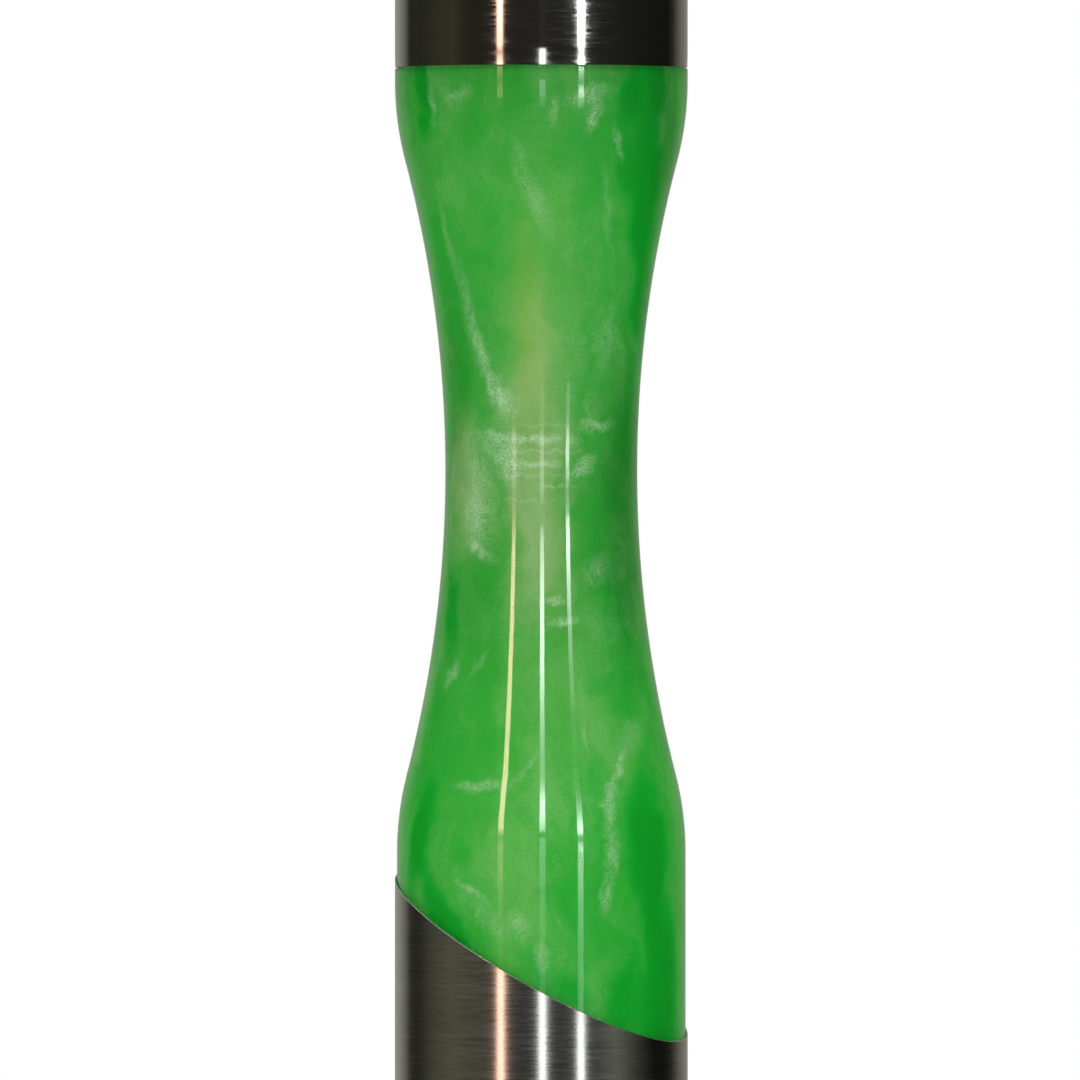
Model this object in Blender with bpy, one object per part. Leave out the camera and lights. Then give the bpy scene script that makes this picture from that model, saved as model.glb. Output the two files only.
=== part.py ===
"""A lava lamp: an hourglass vessel of pearlescent fluid between a slant-cut steel base and a steel cap.

Metres, +Z up. The origin is on the lamp's axis, on the surface that the feet stand on. The cord
leaves at the back, towards +Y. The base's slanted edge is lowest at the front right. Each piece is
one object, and the pieces that lift or turn together hang from one empty.
"""

import math

import bmesh
import bpy
from mathutils import Matrix, Vector

# ---- driving dimensions ----
LAMP_HEIGHT = 0.465
TUBE_RADIUS = 0.045  # outside of the base sleeve and of the cap
SHEET = 0.0005  # wall of the sleeve and the cap
GAP = 0.0003  # clearance between pieces that touch
ROUND = 36  # segments round the large pieces

# ---- base sleeve ----
SLEEVE_BOTTOM = 0.003
RING_INNER_RADIUS = 0.039  # the flat ring welded into the sleeve's bottom
RING_SHEET = 0.0008
CUT_ANGLE = math.radians(30)
CUT_DIRECTION = math.radians(-23.4)  # compass direction in which the cut is lowest
CUT_HEIGHT = 0.122  # height of the cut on the axis
BORE_RADIUS = TUBE_RADIUS - SHEET

# ---- base plate and what it carries ----
PLATE_RADIUS = BORE_RADIUS - GAP
PLATE_BOTTOM = SLEEVE_BOTTOM + RING_SHEET + GAP
PLATE_TOP = PLATE_BOTTOM + 0.0012
VENT_ANGLES = [math.radians(a) for a in (60, 120, 232, 251, 270, 289, 308)]
VENT_MIDDLE_RADIUS = 0.0215
VENT_LENGTH = 0.0095
VENT_WIDTH = 0.0026
EARTH_POINT = (-0.0235, 0.0125)  # where the earth wire is screwed to the plate
FOOT_HEIGHT = PLATE_BOTTOM - GAP
FOOT_RADIUS = 0.0055
FOOT_CIRCLE = 0.033
FOOT_ANGLES = [math.radians(a) for a in (45, 135, 225, 315)]
SCREW_CIRCLE = 0.041
SCREW_ANGLES = [math.radians(a) for a in (30, 150, 270)]

# ---- M3 screws and nuts ----
SCREW_SHANK = 0.0014
SCREW_HOLE = 0.0018
SCREW_HEAD = 0.0026
SCREW_HEAD_DEPTH = 0.0014
PLATE_SCREW_LENGTH = 0.0072
BRACKET_SCREW_LENGTH = 0.0064
NUT_ACROSS_FLATS = 0.0055
NUT_HEIGHT = 0.0022
NUT_BORE = SCREW_SHANK + 0.0001

# ---- vessel support and gasket ----
SUPPORT_RADIUS = 0.035
SUPPORT_WALL = 0.0008
SUPPORT_BOTTOM = PLATE_TOP + GAP
SUPPORT_TOP = 0.0855
SUPPORT_FLANGE_RADIUS = BORE_RADIUS - 2 * GAP
GASKET_THICKNESS = 0.0014
GASKET_MARGIN = 0.0014  # from the seat's rim to the gasket's
GASKET_TOP = SUPPORT_TOP + GAP + GASKET_THICKNESS

# ---- cord outlet ----
GLAND_HEIGHT = 0.014
GLAND_BORE = 0.0032
GLAND_RADIUS = 0.0046
GLAND_LIP = 0.007
GLAND_LIP_DEPTH = 0.002
GLAND_INNER_END = 0.0362
GLAND_NUT_FLATS = 0.012
GLAND_NUT_THICKNESS = 0.0028
GLAND_NUT_SETBACK = 0.0009  # from the bore's back to the nut, whose corners clear the curved wall
SUPPORT_CORD_HOLE = 0.0056

# ---- lamp socket and bulb (E17 size) ----
BRACKET_WIDTH = 0.014
BRACKET_SHEET = 0.001
BRACKET_STEP = 0.004  # height of its platform above its feet
BRACKET_PLATFORM = 0.0155  # half length of the platform
BRACKET_SPAN = 0.026  # half length over the feet
BRACKET_SCREW_AT = 0.021
BRACKET_BOTTOM = PLATE_TOP + GAP
SOCKET_BOTTOM = BRACKET_BOTTOM + BRACKET_STEP + BRACKET_SHEET + GAP
SOCKET_RADIUS = 0.013
SOCKET_TOP = 0.036
SOCKET_BORE = 0.0098
SOCKET_FLOOR = SOCKET_BOTTOM + 0.003
CONTACT_LENGTH = 0.007
CONTACT_WIDTH = 0.004
THREAD_PITCH = 0.00282
THREAD_RADIUS = 0.0083  # crest of the bulb's thread
THREAD_DEPTH = 0.0006
THREAD_TURNS = 4
THREAD_START = 0.0205
BULB_TIP = 0.0172
BULB_RADIUS = 0.0175
BULB_TOP = 0.0745
BULB_WALL = 0.0008
CONTACT_TIP_HEIGHT = 0.0014
FILAMENT_RADIUS = 0.00025

# ---- terminal block and wires ----
BLOCK_SIZE = (0.022, 0.009, 0.0095)
BLOCK_BACK = 0.0222  # from the axis to its middle
WAY_SPACING = 0.0068
WIRE_RADIUS = 0.0009

# ---- vessel ----
WAIST_HEIGHT = 0.2712
WAIST_RADIUS = 0.0295
WAIST_ARC = 0.3735  # radius of the concave side arc
SHOULDER_ARC = 0.0965  # radius of the convex arc that follows it
GLASS_WALL = 0.0028
GLASS_LOWER_RADIUS = BORE_RADIUS - 0.00015
HEEL_HEIGHT = GASKET_TOP + GAP
HEEL_FILLET = 0.007
HEEL_RING_RADIUS = 0.0345  # inner edge of the ring that it stands on
PUNT_RISE = 0.004
CAP_RIM = 0.395
COLLAR_RADIUS = BORE_RADIUS - GAP  # inside the cap
COLLAR_TOP = CAP_RIM + 0.002
NECK_RADIUS = 0.014
NECK_START = 0.427
NECK_BORE = 0.0095
VESSEL_TOP = 0.445
LIP_RADIUS = 0.0133
FLUID_LEVEL = 0.412

# ---- crown closure ----
CROWN_HEIGHT = 0.006
CROWN_SHEET = 0.0004
CROWN_FLUTES = 21
CROWN_LINER = 0.001

# ---- cap ----
LID_SKIRT = 0.008
LINER_RING_BOTTOM = 0.4065
LINER_RING_HEIGHT = 0.005
LINER_RING_RADIUS = 0.041


# ---- materials ----
def material(name, colour, roughness, metallic=0.0, transmission=0.0):
    made = bpy.data.materials.new(name)
    made.use_nodes = True
    shader = made.node_tree.nodes["Principled BSDF"]
    shader.inputs["Base Color"].default_value = (*colour, 1.0)
    shader.inputs["Roughness"].default_value = roughness
    shader.inputs["Metallic"].default_value = metallic
    shader.inputs["Transmission Weight"].default_value = transmission
    made.diffuse_color = (*colour, 1.0)
    return made


def make_materials():
    return {
        "brushed_steel": material("brushed_steel", (0.46, 0.46, 0.43), 0.28, 1.0),
        "zinc_steel": material("zinc_steel", (0.55, 0.56, 0.57), 0.38, 1.0),
        "aluminium": material("aluminium", (0.80, 0.81, 0.82), 0.25, 1.0),
        "brass": material("brass", (0.78, 0.58, 0.28), 0.25, 1.0),
        "nickel": material("nickel", (0.68, 0.66, 0.62), 0.22, 1.0),
        "glass": material("glass", (0.96, 0.99, 0.97), 0.02, 0.0, 1.0),
        "fluid": material("fluid", (0.05, 0.36, 0.06), 0.30),
        "porcelain": material("porcelain", (0.86, 0.85, 0.80), 0.25),
        "black_glass": material("black_glass", (0.03, 0.03, 0.04), 0.10),
        "black_plastic": material("black_plastic", (0.03, 0.03, 0.03), 0.45),
        "white_plastic": material("white_plastic", (0.82, 0.81, 0.77), 0.40),
        "rubber": material("rubber", (0.04, 0.04, 0.04), 0.75),
        "silicone": material("silicone", (0.75, 0.75, 0.72), 0.55),
        "tungsten": material("tungsten", (0.35, 0.34, 0.33), 0.35, 1.0),
        "brown_wire": material("brown_wire", (0.19, 0.08, 0.03), 0.45),
        "blue_wire": material("blue_wire", (0.03, 0.15, 0.50), 0.45),
        "green_wire": material("green_wire", (0.30, 0.45, 0.05), 0.45),
    }


# ---- shape helpers ----
def polar(radius, angle, height=0.0):
    return Vector((radius * math.cos(angle), radius * math.sin(angle), height))


def arc(centre, radius, start_degrees, end_degrees, steps):
    """Points of (radius, height) along a circular arc in the half plane of a turned outline."""
    points = []
    for i in range(steps + 1):
        angle = math.radians(start_degrees + (end_degrees - start_degrees) * i / steps)
        points.append((centre[0] + radius * math.cos(angle), centre[1] + radius * math.sin(angle)))
    return points


def s_curve(start, end, pull, steps):
    """Points from start to end, leaving and arriving upright, like a bottle's shoulder."""
    handles = [start, (start[0], start[1] + pull), (end[0], end[1] - pull), end]
    points = []
    for i in range(steps + 1):
        t = i / steps
        weights = [(1 - t) ** 3, 3 * t * (1 - t) ** 2, 3 * t * t * (1 - t), t**3]
        points.append(tuple(sum(w * h[k] for w, h in zip(weights, handles)) for k in (0, 1)))
    return points


def mesh_from(bm, name):
    bmesh.ops.recalc_face_normals(bm, faces=bm.faces[:])
    mesh = bpy.data.meshes.new(name)
    bm.to_mesh(mesh)
    bm.free()
    mesh.shade_smooth()
    mesh.set_sharp_from_angle(angle=math.radians(35))
    return mesh


def turned_mesh(name, outline, segments=ROUND):
    """A closed body made by spinning a closed outline of (radius, height) points about Z."""
    bm = bmesh.new()
    corners = [bm.verts.new((radius, 0.0, height)) for radius, height in outline]
    for first, second in zip(corners, corners[1:] + corners[:1]):
        if first.co.x > 0 or second.co.x > 0:  # a side along the axis sweeps nothing
            bm.edges.new((first, second))
    bmesh.ops.spin(
        bm,
        geom=bm.verts[:] + bm.edges[:],
        cent=(0, 0, 0),
        axis=(0, 0, 1),
        angle=2 * math.pi,
        steps=segments,
        use_merge=True,
    )
    bmesh.ops.remove_doubles(bm, verts=bm.verts[:], dist=1e-7)
    return mesh_from(bm, name)


def place(name, mesh, finish, parent, at=(0, 0, 0), turn=None):
    piece = bpy.data.objects.new(name, mesh)
    bpy.context.collection.objects.link(piece)
    piece.data.materials.clear()
    piece.data.materials.append(finish)
    piece.location = Vector(at) - parent.location
    if turn is not None:
        piece.rotation_euler = turn
    piece.parent = parent
    return piece


def turned(name, outline, finish, parent, segments=ROUND, at=(0, 0, 0), turn=None):
    return place(name, turned_mesh(name, outline, segments), finish, parent, at, turn)


def add_rod(bm, start, end, radius, segments=16):
    start, end = Vector(start), Vector(end)
    along = end - start
    matrix = Matrix.Translation((start + end) / 2) @ along.to_track_quat("Z", "Y").to_matrix().to_4x4()
    bmesh.ops.create_cone(
        bm,
        cap_ends=True,
        segments=segments,
        radius1=radius,
        radius2=radius,
        depth=along.length,
        matrix=matrix,
    )


def add_block(bm, centre, size, about_z=0.0):
    matrix = Matrix.Translation(centre) @ Matrix.Rotation(about_z, 4, "Z") @ Matrix.Diagonal((*size, 1.0))
    bmesh.ops.create_cube(bm, size=1.0, matrix=matrix)


def cut(piece, name, bm, crossing=False):
    """Take the bodies in bm, which may cross each other, out of a piece with one hidden tool object."""
    tool = bpy.data.objects.new(name, mesh_from(bm, name))
    bpy.context.collection.objects.link(tool)
    tool.hide_render = True
    tool.display_type = "WIRE"
    boolean = piece.modifiers.new(name, "BOOLEAN")
    boolean.operation = "DIFFERENCE"
    boolean.object = tool
    boolean.use_self = crossing
    return tool


def wire(name, points, radius, finish, parent):
    """A round wire along a smooth curve that starts and ends at its first and last points."""
    curve = bpy.data.curves.new(name, "CURVE")
    curve.dimensions = "3D"
    curve.bevel_depth = radius
    curve.bevel_resolution = 1
    curve.use_fill_caps = True
    spline = curve.splines.new("NURBS")
    spline.points.add(len(points) - 1)
    for control, point in zip(spline.points, points):
        control.co = (*(Vector(point) - parent.location), 1.0)
    spline.order_u = 4
    spline.use_endpoint_u = True
    spline.resolution_u = 4
    curve.materials.append(finish)
    piece = bpy.data.objects.new(name, curve)
    bpy.context.collection.objects.link(piece)
    piece.parent = parent
    return piece


def pivot(name, at, parent=None):
    empty = bpy.data.objects.new(name, None)
    bpy.context.collection.objects.link(empty)
    empty.location = Vector(at) - (parent.location if parent else Vector())
    empty.parent = parent
    return empty


# ---- fasteners ----
def screw_mesh(name, length):
    """A pan-head screw along +Z, with its head's bearing face at the origin and a cross recess."""
    outline = [
        (0, -SCREW_HEAD_DEPTH),
        (SCREW_HEAD * 0.7, -SCREW_HEAD_DEPTH),
        (SCREW_HEAD, -SCREW_HEAD_DEPTH * 0.55),
        (SCREW_HEAD, 0),
        (SCREW_SHANK, 0),
        (SCREW_SHANK, length - SCREW_SHANK / 2),
        (SCREW_SHANK / 2, length),
        (0, length),
    ]
    template = bpy.data.objects.new(name, turned_mesh(name, outline, segments=12))
    bpy.context.collection.objects.link(template)
    bm = bmesh.new()
    for about_z in (0, math.pi / 2):
        size = (SCREW_HEAD * 1.2, SCREW_HEAD * 0.26, SCREW_HEAD_DEPTH)
        add_block(bm, (0, 0, -SCREW_HEAD_DEPTH), size, about_z)
    tool = cut(template, name + "_recess", bm, crossing=True)
    bpy.context.view_layer.update()
    finished = template.evaluated_get(bpy.context.evaluated_depsgraph_get())
    mesh = bpy.data.meshes.new_from_object(finished)
    for helper in (template, tool):
        bpy.data.objects.remove(helper, do_unlink=True)
    return mesh


def nut_mesh(name, across_flats, height, bore):
    """A hexagon nut standing on the origin, two flats square to X; its opening clears the bore."""
    corner = across_flats / 2 / math.cos(math.pi / 6)
    opening = bore / math.cos(math.pi / 6)
    bm = bmesh.new()
    rings = []
    for level in (0, height):
        for radius in (corner, opening):
            points = [polar(radius, math.radians(60 * i + 30), level) for i in range(6)]
            rings.append([bm.verts.new(point) for point in points])
    outer_low, inner_low, outer_high, inner_high = rings
    for low, high in (
        (outer_low, outer_high),
        (outer_high, inner_high),
        (inner_high, inner_low),
        (inner_low, outer_low),
    ):
        for i in range(6):
            j = (i + 1) % 6
            bm.faces.new((low[i], low[j], high[j], high[i]))
    return mesh_from(bm, name)


# ---- base ----
def make_sleeve(base, finish):
    """A stock tube cut off at a slant, with a flat ring welded into its bottom."""
    top = CUT_HEIGHT + TUBE_RADIUS
    outline = [
        (BORE_RADIUS, SLEEVE_BOTTOM),
        (TUBE_RADIUS, SLEEVE_BOTTOM),
        (TUBE_RADIUS, top),
        (BORE_RADIUS, top),
    ]
    sleeve = turned("base_sleeve", outline, finish["brushed_steel"], base)
    bm = bmesh.new()
    side = 4 * TUBE_RADIUS
    tilt = Matrix.Rotation(CUT_DIRECTION, 4, "Z") @ Matrix.Rotation(CUT_ANGLE, 4, "Y")
    above = Matrix.Translation((0, 0, CUT_HEIGHT)) @ tilt @ Matrix.Translation((0, 0, side / 2))
    bmesh.ops.create_cube(bm, size=side, matrix=above)
    cut(sleeve, "slant_cut", bm)
    bm = bmesh.new()
    hole = GLAND_RADIUS + GAP
    add_rod(bm, (0, SUPPORT_RADIUS, GLAND_HEIGHT), (0, TUBE_RADIUS * 1.2, GLAND_HEIGHT), hole, 16)
    cut(sleeve, "gland_hole", bm)

    radius = BORE_RADIUS - GAP
    high = SLEEVE_BOTTOM + RING_SHEET
    outline = [
        (RING_INNER_RADIUS, SLEEVE_BOTTOM),
        (radius, SLEEVE_BOTTOM),
        (radius, high),
        (RING_INNER_RADIUS, high),
    ]
    ring = turned("base_ring", outline, finish["zinc_steel"], base)
    bm = bmesh.new()
    for angle in SCREW_ANGLES:
        add_rod(bm, polar(SCREW_CIRCLE, angle, 0), polar(SCREW_CIRCLE, angle, 2 * high), SCREW_HOLE, 12)
    cut(ring, "ring_holes", bm)


def make_plate(base, finish):
    outline = [(0, PLATE_BOTTOM), (PLATE_RADIUS, PLATE_BOTTOM), (PLATE_RADIUS, PLATE_TOP), (0, PLATE_TOP)]
    plate = turned("base_plate", outline, finish["zinc_steel"], base)
    low, high = PLATE_BOTTOM - GAP, PLATE_TOP + GAP
    bm = bmesh.new()
    for angle in SCREW_ANGLES:
        add_rod(bm, polar(SCREW_CIRCLE, angle, low), polar(SCREW_CIRCLE, angle, high), SCREW_HOLE)
    for side in (-1, 1):
        x = side * BRACKET_SCREW_AT
        add_rod(bm, (x, 0, low), (x, 0, high), SCREW_HOLE)
    add_rod(bm, (*EARTH_POINT, low), (*EARTH_POINT, high), SCREW_HOLE)
    for angle in VENT_ANGLES:
        middle = polar(VENT_MIDDLE_RADIUS, angle, (low + high) / 2)
        add_block(bm, middle, (VENT_LENGTH, VENT_WIDTH, high - low), angle)
    cut(plate, "plate_holes", bm)


def make_feet(base, finish):
    edge = 0.0008
    top = FOOT_HEIGHT
    outline = [
        (0, 0),
        (FOOT_RADIUS - edge, 0),
        (FOOT_RADIUS, edge),
        (FOOT_RADIUS, top),
        (0, top),
    ]
    mesh = turned_mesh("foot", outline, segments=24)
    for number, angle in enumerate(FOOT_ANGLES, 1):
        place(f"foot_{number}", mesh, finish["rubber"], base, polar(FOOT_CIRCLE, angle))


def make_fasteners(base, finish):
    steel = finish["zinc_steel"]
    plate_screw = screw_mesh("plate_screw", length=PLATE_SCREW_LENGTH)
    bracket_screw = screw_mesh("bracket_screw", length=BRACKET_SCREW_LENGTH)
    nut = nut_mesh("nut", NUT_ACROSS_FLATS, NUT_HEIGHT, NUT_BORE)
    under_sleeve = SLEEVE_BOTTOM - GAP
    on_flange = SUPPORT_BOTTOM + SUPPORT_WALL + GAP
    for number, angle in enumerate(SCREW_ANGLES, 1):
        place(f"plate_screw_{number}", plate_screw, steel, base, polar(SCREW_CIRCLE, angle, under_sleeve))
        at = polar(SCREW_CIRCLE, angle, on_flange)
        place(f"plate_nut_{number}", nut, steel, base, at, turn=(0, 0, angle))
    under_plate = PLATE_BOTTOM - GAP
    on_bracket = BRACKET_BOTTOM + BRACKET_SHEET + GAP
    for number, side in enumerate((-1, 1), 1):
        x = side * BRACKET_SCREW_AT
        place(f"bracket_screw_{number}", bracket_screw, steel, base, (x, 0, under_plate))
        place(f"bracket_nut_{number}", nut, steel, base, (x, 0, on_bracket))
    place("earth_screw", bracket_screw, steel, base, (*EARTH_POINT, under_plate))
    place("earth_nut", nut, steel, base, (*EARTH_POINT, on_bracket))


def make_support(base, finish):
    """A tube between two flat rings: the plate screws clamp one, and the vessel stands on the other."""
    inner = SUPPORT_RADIUS - SUPPORT_WALL
    rings = {
        "support_foot": SUPPORT_BOTTOM,
        "vessel_seat": SUPPORT_TOP - SUPPORT_WALL,
    }
    made = {}
    for name, low in rings.items():
        high = low + SUPPORT_WALL
        outline = [(inner, low), (SUPPORT_FLANGE_RADIUS, low), (SUPPORT_FLANGE_RADIUS, high), (inner, high)]
        made[name] = turned(name, outline, finish["aluminium"], base)
    bm = bmesh.new()
    for angle in SCREW_ANGLES:
        low = polar(SCREW_CIRCLE, angle, PLATE_TOP)
        add_rod(bm, low, low + Vector((0, 0, 3 * SUPPORT_WALL)), SCREW_HOLE, 12)
    cut(made["support_foot"], "support_foot_holes", bm)

    low, high = SUPPORT_BOTTOM + SUPPORT_WALL + GAP, SUPPORT_TOP - SUPPORT_WALL - GAP
    outline = [(inner, low), (SUPPORT_RADIUS, low), (SUPPORT_RADIUS, high), (inner, high)]
    tube = turned("support_tube", outline, finish["aluminium"], base)
    bm = bmesh.new()
    start, end = (0, inner * 0.9, GLAND_HEIGHT), (0, SUPPORT_RADIUS * 1.1, GLAND_HEIGHT)
    add_rod(bm, start, end, SUPPORT_CORD_HOLE, 16)
    cut(tube, "support_cord_hole", bm)

    edge = 0.0004
    outer = SUPPORT_FLANGE_RADIUS - GASKET_MARGIN
    gasket = [
        (SUPPORT_RADIUS, SUPPORT_TOP + GAP),
        (outer, SUPPORT_TOP + GAP),
        (outer, GASKET_TOP - edge),
        (outer - edge, GASKET_TOP),
        (SUPPORT_RADIUS, GASKET_TOP),
    ]
    turned("seat_gasket", gasket, finish["silicone"], base)


def make_gland(base, finish):
    """The cord's outlet, turned about an axis that runs out of the back of the sleeve."""
    back = -math.pi / 2  # turns +Z into +Y
    lip_start = TUBE_RADIUS + GAP
    lip_end = lip_start + GLAND_LIP_DEPTH
    gland = [
        (GLAND_BORE, GLAND_INNER_END),
        (GLAND_RADIUS, GLAND_INNER_END),
        (GLAND_RADIUS, lip_start),
        (GLAND_LIP, lip_start),
        (GLAND_LIP, lip_end - 0.0008),
        (GLAND_LIP - 0.0012, lip_end),
        (GLAND_BORE + 0.0006, lip_end),
        (GLAND_BORE, lip_end - 0.0006),
    ]
    at = (0, 0, GLAND_HEIGHT)
    turned("cord_gland", gland, finish["black_plastic"], base, 24, at, (back, 0, 0))
    nut = nut_mesh("gland_nut", GLAND_NUT_FLATS, GLAND_NUT_THICKNESS, GLAND_RADIUS + GAP)
    start = BORE_RADIUS - GLAND_NUT_SETBACK - GLAND_NUT_THICKNESS
    place("gland_nut", nut, finish["black_plastic"], base, (0, start, GLAND_HEIGHT), (back, 0, 0))


# ---- socket and wiring ----
def make_bracket(base, finish):
    """A hat-shaped strip: two feet on the plate, two risers, and the platform under the socket."""
    step, sheet = BRACKET_STEP, BRACKET_SHEET
    half = [(BRACKET_SPAN, 0), (BRACKET_SPAN, sheet), (BRACKET_PLATFORM + sheet, sheet)]
    half += [(BRACKET_PLATFORM, step + sheet)]
    under = [(BRACKET_PLATFORM - sheet, step), (BRACKET_PLATFORM, 0)]
    outline = half + [(-x, z) for x, z in reversed(half)] + [(-x, z) for x, z in reversed(under)] + under
    bm = bmesh.new()
    front = [bm.verts.new((x, -BRACKET_WIDTH / 2, BRACKET_BOTTOM + z)) for x, z in outline]
    face = bm.faces.new(front)
    moved = bmesh.ops.extrude_face_region(bm, geom=[face])["geom"]
    back = [v for v in moved if isinstance(v, bmesh.types.BMVert)]
    bmesh.ops.translate(bm, verts=back, vec=(0, BRACKET_WIDTH, 0))
    bracket = place("socket_bracket", mesh_from(bm, "socket_bracket"), finish["zinc_steel"], base)
    bm = bmesh.new()
    for side in (-1, 1):
        x = side * BRACKET_SCREW_AT
        add_rod(bm, (x, 0, BRACKET_BOTTOM - sheet), (x, 0, BRACKET_BOTTOM + 2 * sheet), SCREW_HOLE)
    cut(bracket, "bracket_holes", bm)


def rippled(radius, start, end, outward):
    """Outline points of a thread's ripples, one crest to each pitch, between two heights."""
    points = []
    height = start
    while height + THREAD_PITCH <= end + 1e-9:
        root, crest = (radius - THREAD_DEPTH, radius) if outward else (radius, radius + THREAD_DEPTH)
        points += [(root, height), (crest, height + THREAD_PITCH / 2)]
        height += THREAD_PITCH
    points.append((points[0][0], height))
    return points


def make_socket(base, finish):
    outline = [
        (0, SOCKET_BOTTOM),
        (SOCKET_RADIUS - 0.001, SOCKET_BOTTOM),
        (SOCKET_RADIUS, SOCKET_BOTTOM + 0.001),
        (SOCKET_RADIUS, SOCKET_TOP - 0.001),
        (SOCKET_RADIUS - 0.001, SOCKET_TOP),
        (SOCKET_BORE, SOCKET_TOP),
        (SOCKET_BORE, SOCKET_FLOOR),
        (0, SOCKET_FLOOR),
    ]
    turned("lamp_socket", outline, finish["porcelain"], base, segments=32)
    clear = THREAD_RADIUS + GAP
    start = THREAD_START - THREAD_PITCH / 2
    end = start + (THREAD_TURNS + 1) * THREAD_PITCH
    inside = rippled(clear, start, end, outward=False)
    outer = SOCKET_BORE - GAP
    outside = [(outer, inside[-1][1]), (outer, inside[0][1])]
    turned("socket_thread_shell", inside + outside, finish["brass"], base, segments=24)
    foot = SOCKET_FLOOR + GAP
    rise = BULB_TIP - GAP - foot
    bm = bmesh.new()
    add_block(bm, (0, 0, foot + rise / 2), (CONTACT_LENGTH, CONTACT_WIDTH, rise))
    bmesh.ops.bevel(bm, geom=bm.edges[:], offset=0.0004, segments=1, affect="EDGES")
    place("socket_contact", mesh_from(bm, "socket_contact"), finish["brass"], base)


def make_wiring(base, finish):
    size = Vector(BLOCK_SIZE)
    middle = Vector((0, BLOCK_BACK, PLATE_TOP + GAP + size.z / 2))
    bm = bmesh.new()
    add_block(bm, middle, size)
    bmesh.ops.bevel(bm, geom=bm.edges[:], offset=0.0008, segments=1, affect="EDGES")
    block = place("terminal_block", mesh_from(bm, "terminal_block"), finish["white_plastic"], base)
    ways = (-WAY_SPACING, 0.0, WAY_SPACING)
    bm = bmesh.new()
    for x in ways:
        top = middle.z + size.z / 2
        add_rod(bm, (x, middle.y, top - 0.003), (x, middle.y, top + 0.001), 0.0021, 12)
    cut(block, "terminal_screw_wells", bm)
    front = middle.y - size.y / 2 - GAP
    side = SOCKET_RADIUS + GAP
    z = middle.z
    live = [(ways[0], front, z), (ways[0], front - 0.003, z), (-0.014, 0.013, z + 0.003)]
    live += [(-side - 0.004, 0.004, 0.017), (-side - 0.002, 0, 0.019), (-side, 0, 0.019)]
    neutral = [(-x, y, z) for x, y, z in live]
    wire("live_wire", live, WIRE_RADIUS, finish["brown_wire"], base)
    wire("neutral_wire", neutral, WIRE_RADIUS, finish["blue_wire"], base)
    tag = Vector((*EARTH_POINT, 0)) + Vector((0.0035, 0.0005, 0.0088))
    back = middle.y + size.y / 2 + GAP
    earth = [(ways[0], back, z), (-0.0075, back + 0.003, z), (-0.0135, back + 0.0015, z + 0.001)]
    earth += [(-0.0165, 0.021, 0.0098), tag + Vector((0.001, 0.003, 0.001)), tag]
    wire("earth_wire", earth, WIRE_RADIUS, finish["green_wire"], base)


# ---- bulb ----
def make_bulb(carrier, bulb, finish):
    shell_bottom = THREAD_START
    shell_top = shell_bottom + (THREAD_TURNS + 1) * THREAD_PITCH
    tip_top = BULB_TIP + CONTACT_TIP_HEIGHT
    tip = [(0, BULB_TIP), (0.0014, BULB_TIP), (0.0024, BULB_TIP + 0.0007), (0.0024, tip_top), (0, tip_top)]
    turned("bulb_contact_tip", tip, finish["nickel"], carrier, segments=24)
    low = tip_top + GAP
    insulator = [(0, low), (0.003, low), (0.0066, shell_bottom - GAP), (0, shell_bottom - GAP)]
    turned("bulb_insulator", insulator, finish["black_glass"], carrier, segments=32)
    inner = THREAD_RADIUS - THREAD_DEPTH - 0.0003
    shell = rippled(THREAD_RADIUS, shell_bottom, shell_top, outward=True)
    shell += [(inner, shell_top), (inner, shell_bottom)]
    turned("bulb_screw_shell", shell, finish["brass"], bulb, segments=24)
    neck = inner - GAP
    equator = BULB_TOP - BULB_RADIUS
    bottom = shell_bottom + 0.008
    crown = arc((0, equator), BULB_RADIUS, 90, -40, 8)
    crown_inside = arc((0, equator), BULB_RADIUS - BULB_WALL, 90, -40, 8)
    waist = s_curve((neck, shell_top + 0.001), crown[-1], 0.006, 4)[:-1]
    waist_inside = [(radius - BULB_WALL, height) for radius, height in waist]
    outline = [(neck - BULB_WALL, bottom), (neck, bottom), *waist, *reversed(crown)]
    outline += [*crown_inside, *reversed(waist_inside)]
    turned("bulb_glass", outline, finish["glass"], bulb, segments=24)
    stem_bottom, stem_top = bottom - 0.002, shell_top + 0.012
    stem = [(0, stem_bottom), (0.0055, stem_bottom), (0.0028, stem_bottom + 0.006)]
    stem += [(0.002, stem_top), (0, stem_top)]
    turned("bulb_stem", stem, finish["glass"], bulb, segments=20)
    low, high = stem_top + GAP, equator + 0.003
    loop = [(-0.0012, 0, low), (-0.004, 0, low + 0.005), (-0.007, 0, high - 0.004), (-0.007, 0, high)]
    loop += [(-0.003, 0, high + 0.0025), (0.003, 0, high + 0.0025)]
    loop += [(-x, y, z) for x, y, z in reversed(loop[:4])]
    wire("bulb_filament", loop, FILAMENT_RADIUS, finish["tungsten"], bulb)


# ---- vessel ----
def flank(end_radius, inset, side):
    """The vessel's side from its waist to where it stands upright, below (-1) or above (+1).

    A concave arc runs into a convex one. Both turn through the same angle, which follows from
    how much wider than the waist the end is. inset moves the line inwards by that much.
    """
    both = WAIST_ARC + SHOULDER_ARC
    turn = math.degrees(math.acos(1 - (end_radius - WAIST_RADIUS) / both))
    concave = arc((WAIST_RADIUS + WAIST_ARC, 0), WAIST_ARC + inset, 180, 180 - turn, 4)
    rise = both * math.sin(math.radians(turn))
    convex = arc((end_radius - SHOULDER_ARC, rise), SHOULDER_ARC - inset, -turn, 0, 2)
    return [(radius, WAIST_HEIGHT + side * height) for radius, height in concave + convex[1:]]


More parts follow.
